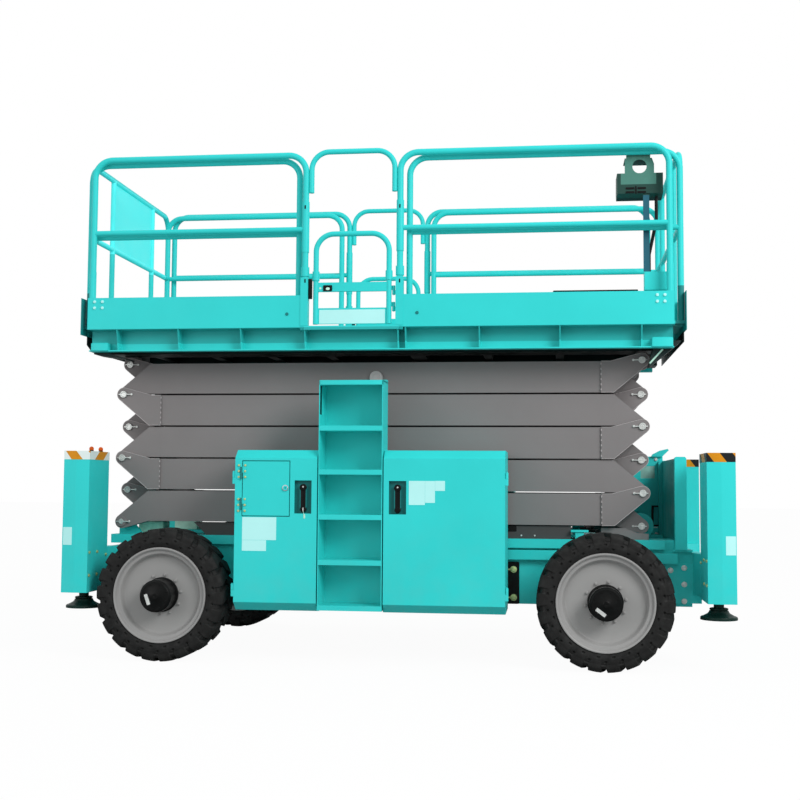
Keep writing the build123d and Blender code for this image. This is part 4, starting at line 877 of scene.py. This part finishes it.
class LIFT_OT_controls(bpy.types.Operator):
    """Fit the socket panel of the platform control box"""

    bl_idname = "lift.controls"
    bl_label = "Control box panel"

    def execute(self, context):
        slots = [place(plate(0.056, 0.0135, 0.0025, 0.005), (x, BOX_Y, z))
                 for x in (1.549, 1.625) for z in (3.078, 3.104)]
        slots.append(place(plate(0.010, 0.052, 0.004, 0.003), (1.587, BOX_Y, 3.092)))
        piece("box_sockets", slots, "black", "extension_front")
        return {"FINISHED"}


# Cabinets and ladders


HANDLE_PIVOT = [(0.023, -0.004), (0.023, 0.0035), (0.020, 0.006), (0.009, 0.0065)]
HANDLE_TIP = [(0.019, -0.0235), (0.019, 0.002), (0.016, 0.0045), (0.006, 0.005)]
LOCK_PROFILE = [(0.0215, 0), (0.0215, 0.004), (0.0195, 0.0072), (0.0155, 0.0075), (0.0145, 0.0055),
                (0.004, 0.0060)]
TAG_CORD = [(-0.5495, -1.1195, 0.980), (-0.545, -1.1225, 0.965), (-0.541, -1.1215, 0.952)]

# Blank plates as (left, right, bottom, top).
REAR_PLATES = ((-0.947, -0.723, 0.790, 0.936), (-0.947, -0.788, 0.720, 0.7885))
FRONT_PLATES = ((0.134, 0.2365, 1.023, 1.175), (0.2375, 0.3005, 1.037, 1.175), (0.3015, 0.364, 1.113, 1.176))


def hinge_row(x, bottom):
    """Three small bolts, one above the other, down one leaf of a hinge."""
    return [place(bolt(0.0068, 1.15), (x, -1.1198, bottom + 0.0375 * k)) for k in range(3)]


def hinge_barrel(z, length):
    """Upright half of a hinge's barrel."""
    return place(disc(0.0068, length, 0.001, 18), (-0.957, -1.126, z), (0, 0, 1), (0, 1, 0))


def film_plates(name, areas, body):
    """Thin blank plates on a cabinet's face."""
    shells = [place(plate(x1 - x0, z1 - z0, 0.001, 0.002), ((x0 + x1) / 2, CABINET_Y, (z0 + z1) / 2))
              for x0, x1, z0, z1 in areas]
    piece(name, shells, "film", body)


class LIFT_OT_cabinets(bpy.types.Operator):
    """Fit handles, lock, hinges and blank plates to the cabinets, and the ladders' top hoods"""

    bl_idname = "lift.cabinets"
    bl_label = "Cabinet fittings"

    def execute(self, context):
        for end, mid in HANDLE_X.items():
            grip = [place(turned(HANDLE_PIVOT, 28), (mid, -1.1138, 1.129)),
                    place(turned(HANDLE_TIP, 24), (mid, -1.1138, 0.988)),
                    box((mid - 0.0165, -1.1158, 0.992), (mid + 0.0165, -1.110, 1.125), 0.004)]
            studs = [place(disc(0.0055, 0.002, 0.0008, 14), (mid, CABINET_Y, 1.133))]
            if end == "rear":
                studs.append(place(plate(0.006, 0.020, 0.002, 0.002), (mid + 0.001, -1.1182, 0.990)))
            for side in SIDES:
                body = f"door_{side}_{end}"
                piece(f"handle_{side}_{end}", grip, "black", body, [side])
                piece(f"handle_stud_{side}_{end}", studs, "steel", body, [side])
        tag = [tube(smooth_path(TAG_CORD, 10), 0.0012, 6),
               place(plate(0.011, 0.027, 0.002, 0.003), (-0.540, -1.1202, 0.944))]
        piece("key_tag", tag, "pale", "door_near_rear")
        lock = place(turned(LOCK_PROFILE, 32), (-0.666, CABINET_Y, 1.125))
        piece("hatch_lock", [lock], "chrome", "hatch_near")
        rows = (0.976, 1.194)
        piece("hinge_bolts_door", [b for z in rows for b in hinge_row(-0.974, z)], "brass", "door_near_rear")
        piece("hinge_bolts_hatch", [b for z in rows for b in hinge_row(-0.932, z)], "brass", "hatch_near")
        low_halves = [hinge_barrel(z + 0.0001, 0.0388) for z in (0.981, 1.181)]
        piece("hinge_barrels_door", low_halves, "shade", "door_near_rear")
        high_halves = [hinge_barrel(z + 0.0403, 0.0385) for z in (0.981, 1.181)]
        piece("hinge_barrels_hatch", high_halves, "shade", "hatch_near")
        film_plates("plates_rear", REAR_PLATES, "door_near_rear")
        film_plates("plates_front", FRONT_PLATES, "door_near_front")
        left, right, low, high = -0.452, -0.037, 1.8145, 1.8205
        hood = [box((left, CABINET_Y, 1.7895), (right, -1.100, high), 0.002),
                slab([(left, low), (right, low), (right, high), (left, high)], -1.105, -0.880)]
        slit = box((-0.4472, -1.108, 1.600), (-0.4452, -1.058, 1.786), 0.0005)
        for side in SIDES:
            piece(f"hood_{side}", hood, "body", "chassis", [side])
            piece(f"hood_slit_{side}", [slit], "black", "chassis", [side])
        return {"FINISHED"}


# Chassis and outriggers


class LIFT_OT_chassis(bpy.types.Operator):
    """Fit rails, bolts, plates and brackets to the chassis"""

    bl_idname = "lift.chassis"
    bl_label = "Chassis fittings"

    def execute(self, context):
        def both_sides(name, shells, finish):
            piece(name, shells, finish, "chassis", SIDES)

        both_sides("rail_lower", [box((0.700, -0.6185, 0.656), (1.3645, -0.571, 0.7215), 0.003)], "body")
        pad = place(plate(0.089, 0.279, 0.0105, 0.012, 0.002), (0.7735, -0.5718, 0.5005))
        both_sides("web_pad", [pad], "black")
        bolts = []
        for z in (0.590, 0.404):
            bolts += [place(disc(0.0225, 0.004, 0.001, 28), (0.780, -0.582, z)),
                      place(bolt(0.0125), (0.780, -0.5855, z)),
                      place(disc(0.006, 0.006, 0.001, 14), (0.749, -0.582, z))]
        both_sides("pad_bolts", bolts, "brass")
        ends = [place(bolt(0.0125, 1.45), (x, -0.584, z))
                for x, z in ((1.810, 0.600), (1.899, 0.616), (1.898, 0.509), (1.897, 0.399))]
        both_sides("end_bolts", ends, "steel")
        bracket = [box((1.160, -0.626, 0.8425), (1.276, -0.560, 0.8585), 0.002),
                   box((1.189, -0.618, 0.7955), (1.245, -0.566, 0.843), 0.002)]
        both_sides("ledge_bracket", bracket, "body")
        both_sides("ledge_strip", [box((1.260, -0.622, 0.8585), (1.345, -0.565, 0.8625), 0.001)], "black")
        both_sides("pale_cover", [box((-1.860, -0.485, 0.7955), (-1.680, -0.340, 0.8835), 0.006)], "pale")
        rests = [place(disc(0.006, 0.003, 0.001, 14), (x, -0.585, 0.8175)) for x in (0.832, 0.921)]
        both_sides("rest_bolts", rests, "steel")
        guard = slab([(1.360, 0.7365), (1.672, 0.7365), (1.672, 0.836), (1.600, 0.842), (1.520, 0.872),
                      (1.360, 0.872)], -0.5625, -0.5575)
        both_sides("roller_guard", [guard], "arms")
        both_sides("rest_pad", [box((0.650, -0.588, 0.842), (0.800, -0.530, 0.8835), 0.003)], "black")

        marks = [place(bolt(0.0095), (1.822, 0.6298, z)) for z in (1.356, 0.790)]
        piece("end_box_bolts", marks, "steel", "chassis")
        pane = box((1.706, 0.6325, 1.210), (1.815, 0.6345, 1.308), 0.0005)
        piece("end_box_pane", [pane], "haze", "chassis")
        skirt = box((1.640, 0.630, 0.7362), (1.8685, 0.635, 0.8395), 0.0005)
        piece("end_box_skirt", [skirt], "body", "chassis")
        # Black strips along the left, top and bottom of the recess on the far cheek: painted shade on its
        # edges.
        rims = [box((1.786, 0.6245, 0.850), (1.803, 0.6298, 1.006), 0.001),
                box((1.803, 0.6245, 0.996), (1.8675, 0.6298, 1.006), 0.001),
                box((1.803, 0.6245, 0.850), (1.8675, 0.6298, 0.860), 0.001)]
        piece("end_box_shade_strips", rims, "black", "chassis")
        return {"FINISHED"}


# An outrigger's housing: its inner, middle and outer X, and the Y of its back and of its pointed front,
# which falls away by BEVEL on both sides. Its side bolts are (y, z), and its blank plate's middle is (x, z).
IN_X, MID_X, OUT_X, BACK_Y, FRONT_Y, BEVEL = 1.984, 2.0715, 2.159, -0.760, -1.120, 0.006
SIDE_BOLTS = ((-1.085, 0.693), (-0.950, 0.692), (-1.085, 0.543), (-0.950, 0.543), (-0.790, 0.665))
PLATE_PLACES = {"rear": (2.1225, 0.8005), "front": (2.1245, 0.7895)}
COLLAR_PROFILE = [(0.030, 0.3945), (0.052, 0.3945), (0.058, 0.391), (0.058, 0.3845), (0.051, 0.381),
                  (0.060, 0.377), (0.061, 0.371), (0.070, 0.360), (0.096, 0.346), (0.111, 0.3405),
                  (0.1135, 0.3365), (0.1135, 0.3330), (0.030, 0.3330)]
HOOK_PROFILE = [(0.004, 0), (0.014, 0.001), (0.0165, 0.005), (0.014, 0.009), (0.004, 0.010)]


class LIFT_OT_outriggers(bpy.types.Operator):
    """Fit striped caps, hooks, bolts and plates to the outriggers, and collars to their feet"""

    bl_idname = "lift.outriggers"
    bl_label = "Outrigger fittings"

    def execute(self, context):
        lap, cap_low, cap_high = 0.0012, 1.3035, 1.3600
        tilt = math.atan2(BEVEL, OUT_X - MID_X)
        for end in ENDS:
            sx = -1 if end == "rear" else 1
            edge = [(IN_X - lap, BACK_Y + lap), (IN_X - lap, FRONT_Y + BEVEL - lap), (MID_X, FRONT_Y - lap),
                    (OUT_X, FRONT_Y + BEVEL - lap), (OUT_X, BACK_Y + lap)]
            cap = prism([(sx * x, y) for x, y in edge], cap_low, cap_high)
            bolts = [place(bolt(0.0085, 1.25), (sx * IN_X, y, z), (-sx, 0, 0)) for y, z in SIDE_BOLTS]
            x, z = PLATE_PLACES[end]
            y = FRONT_Y + (x - MID_X) * math.tan(tilt)
            film = place(plate(0.061, 0.116, 0.001, 0.002), (sx * x, y, z),
                         (sx * math.sin(tilt), -math.cos(tilt), 0))
            collar = place(turned(COLLAR_PROFILE), (sx * MID_X, -0.935, 0.0), (0, 0, 1), (0, 1, 0))
            for side in SIDES:
                name = f"{end}_{side}"
                piece(f"cap_{name}", [cap], "stripes", "chassis", [side])
                piece(f"side_bolts_{name}", bolts, "brass", "chassis", [side])
                piece(f"plate_{name}", [film], "film", "chassis", [side])
                piece(f"foot_collar_{name}", [collar], "foot", f"leg_{name}", [side])
        hooks, bases = [], []
        for x, y in ((-2.012, -1.010), (-1.998, -0.880)):
            hooks.append(place(turned(HOOK_PROFILE, 20), (x, y, 1.3755)))
            bases.append(box((x - 0.012, y - 0.013, 1.3595), (x + 0.012, y + 0.006, 1.3685), 0.002))
        piece("cap_hooks", hooks, "orange", "chassis")
        piece("cap_hook_bases", bases, "black", "chassis")
        return {"FINISHED"}


# Stage


class LIFT_OT_stage(bpy.types.Operator):
    """Set the floor, the soft light and the camera"""

    bl_idname = "lift.stage"
    bl_label = "Stage"

    def execute(self, context):
        scene = context.scene
        floor_mesh = bpy.data.meshes.new("floor")
        half = 60.0
        floor_mesh.from_pydata([(-half, -half, 0), (half, -half, 0), (half, half, 0), (-half, half, 0)], [],
                               [(0, 1, 2, 3)])
        floor = bpy.data.objects.new("floor", floor_mesh)
        scene.collection.objects.link(floor)
        floor_mesh.materials.append(floor_finish())
        world = bpy.data.worlds.new("studio")
        scene.world = world
        world.use_nodes = True
        light_world(world.node_tree)
        soft_lamp("key", (8.0, -8.5, 7.5), (0.0, 0.0, 1.6), 5.0, 900)
        soft_lamp("fill", (-7.0, -9.0, 3.5), (-0.5, 0.0, 1.5), 5.0, 150)
        scene.view_settings.view_transform = "Standard"
        set_camera(scene)
        return {"FINISHED"}


def floor_finish():
    """Pale floor: white to the camera save for the object's shadow, and a mid grey to bounced light."""
    f = Finish("floor_finish")
    out = f.nodes["Material Output"]
    f.set(Base_Color=(0.42, 0.42, 0.42, 1.0), Roughness=0.9, Specular_IOR_Level=0.0)
    white = f.node("ShaderNodeBsdfDiffuse", {"Color": (0.9, 0.9, 0.9, 1.0)})
    glow = f.node("ShaderNodeEmission", {"Color": (1, 1, 1, 1), "Strength": 1.0})
    seen = f.node("ShaderNodeMixShader", {"Fac": 0.96})
    f.links.new(white.outputs[0], seen.inputs[1])
    f.links.new(glow.outputs[0], seen.inputs[2])
    ray = f.node("ShaderNodeLightPath")
    pick = f.node("ShaderNodeMixShader", {"Fac": ray.outputs["Is Camera Ray"]})
    f.links.new(f.shader.outputs[0], pick.inputs[1])
    f.links.new(seen.outputs[0], pick.inputs[2])
    f.links.new(pick.outputs[0], out.inputs["Surface"])
    return f.material


def light_world(tree):
    """White of strength 1 to camera, glossy and transmission rays, and an even pale sky to the rest."""
    nodes, links = tree.nodes, tree.links
    sky = nodes["Background"]
    sky.inputs["Color"].default_value = (0.95, 0.985, 1.0, 1.0)
    sky.inputs["Strength"].default_value = 0.67
    shown = nodes.new("ShaderNodeBackground")
    shown.inputs["Color"].default_value = (1, 1, 1, 1)
    shown.inputs["Strength"].default_value = 1.0
    ray = nodes.new("ShaderNodeLightPath").outputs
    share = ray["Is Camera Ray"]
    for kind in ("Is Glossy Ray", "Is Transmission Ray"):
        total = nodes.new("ShaderNodeMath")
        total.operation = "ADD"
        total.use_clamp = True
        links.new(share, total.inputs[0])
        links.new(ray[kind], total.inputs[1])
        share = total.outputs[0]
    mix = nodes.new("ShaderNodeMixShader")
    for source, socket in zip((share, sky.outputs[0], shown.outputs[0]), mix.inputs):
        links.new(source, socket)
    links.new(mix.outputs[0], nodes["World Output"].inputs["Surface"])


def soft_lamp(name, place_at, aim, size, power):
    """Square area lamp turned to its aim."""
    data = bpy.data.lights.new(name, "AREA")
    data.size = size
    data.energy = power
    lamp = bpy.data.objects.new(name, data)
    bpy.context.scene.collection.objects.link(lamp)
    lamp.location = place_at
    lamp.rotation_mode = "QUATERNION"
    lamp.rotation_quaternion = (Vector(aim) - Vector(place_at)).to_track_quat("-Z", "Y")


CAMERA_AT = Vector((1.032, -8.762, 1.148))
CAMERA_YAW = math.radians(7.15)
CAMERA_PITCH = math.radians(4.03)
CAMERA_ROLL = math.radians(0.38)
CAMERA_LENS = 54.36


def set_camera(scene):
    """Camera at the photograph's place: forward from yaw and pitch, then rolled about it."""
    yaw, pitch, roll = CAMERA_YAW, CAMERA_PITCH, CAMERA_ROLL
    forward = Vector((-math.sin(yaw) * math.cos(pitch), math.cos(yaw) * math.cos(pitch), math.sin(pitch)))
    right = Vector((math.cos(yaw), math.sin(yaw), 0.0))
    up = right.cross(forward)
    rolled = right * math.cos(roll) + up * math.sin(roll)
    top = up * math.cos(roll) - right * math.sin(roll)
    data = bpy.data.cameras.new("camera")
    data.lens = CAMERA_LENS
    data.sensor_width = 36.0
    data.clip_end = 200.0
    camera = bpy.data.objects.new("camera", data)
    scene.collection.objects.link(camera)
    turn = Matrix((rolled, top, -forward)).transposed()
    camera.matrix_world = Matrix.Translation(CAMERA_AT) @ turn.to_4x4()
    scene.camera = camera


class LIFT_PT_panel(bpy.types.Panel):
    """Sidebar list of the lift's operators"""

    bl_idname = "LIFT_PT_panel"
    bl_label = "Scissor lift"
    bl_space_type = "VIEW_3D"
    bl_region_type = "UI"
    bl_category = "Lift"

    def draw(self, context):
        for name in ("body", "arms", "rims"):
            self.layout.prop(context.scene.lift_colours, name)
        for name in ("lugs", "lug_depth", "stud_circle", "pin_head"):
            self.layout.prop(context.scene.lift_sizes, name)
        for operator in OPERATORS:
            self.layout.operator(operator.bl_idname)


OPERATORS = (LIFT_OT_stage, LIFT_OT_finishes, LIFT_OT_tyres, LIFT_OT_hubs, LIFT_OT_arms, LIFT_OT_platform,
             LIFT_OT_controls, LIFT_OT_cabinets, LIFT_OT_chassis, LIFT_OT_outriggers)
CLASSES = (LiftColours, LiftSizes, *OPERATORS, LIFT_PT_panel)


def register():
    for cls in CLASSES:
        bpy.utils.register_class(cls)
    bpy.types.Scene.lift_colours = bpy.props.PointerProperty(type=LiftColours)
    bpy.types.Scene.lift_sizes = bpy.props.PointerProperty(type=LiftSizes)


def unregister():
    del bpy.types.Scene.lift_sizes
    del bpy.types.Scene.lift_colours
    for cls in reversed(CLASSES):
        bpy.utils.unregister_class(cls)


def main():
    register()
    for operator in OPERATORS:
        group, name = operator.bl_idname.split(".")
        getattr(getattr(bpy.ops, group), name)()


if __name__ == "__main__":
    main()
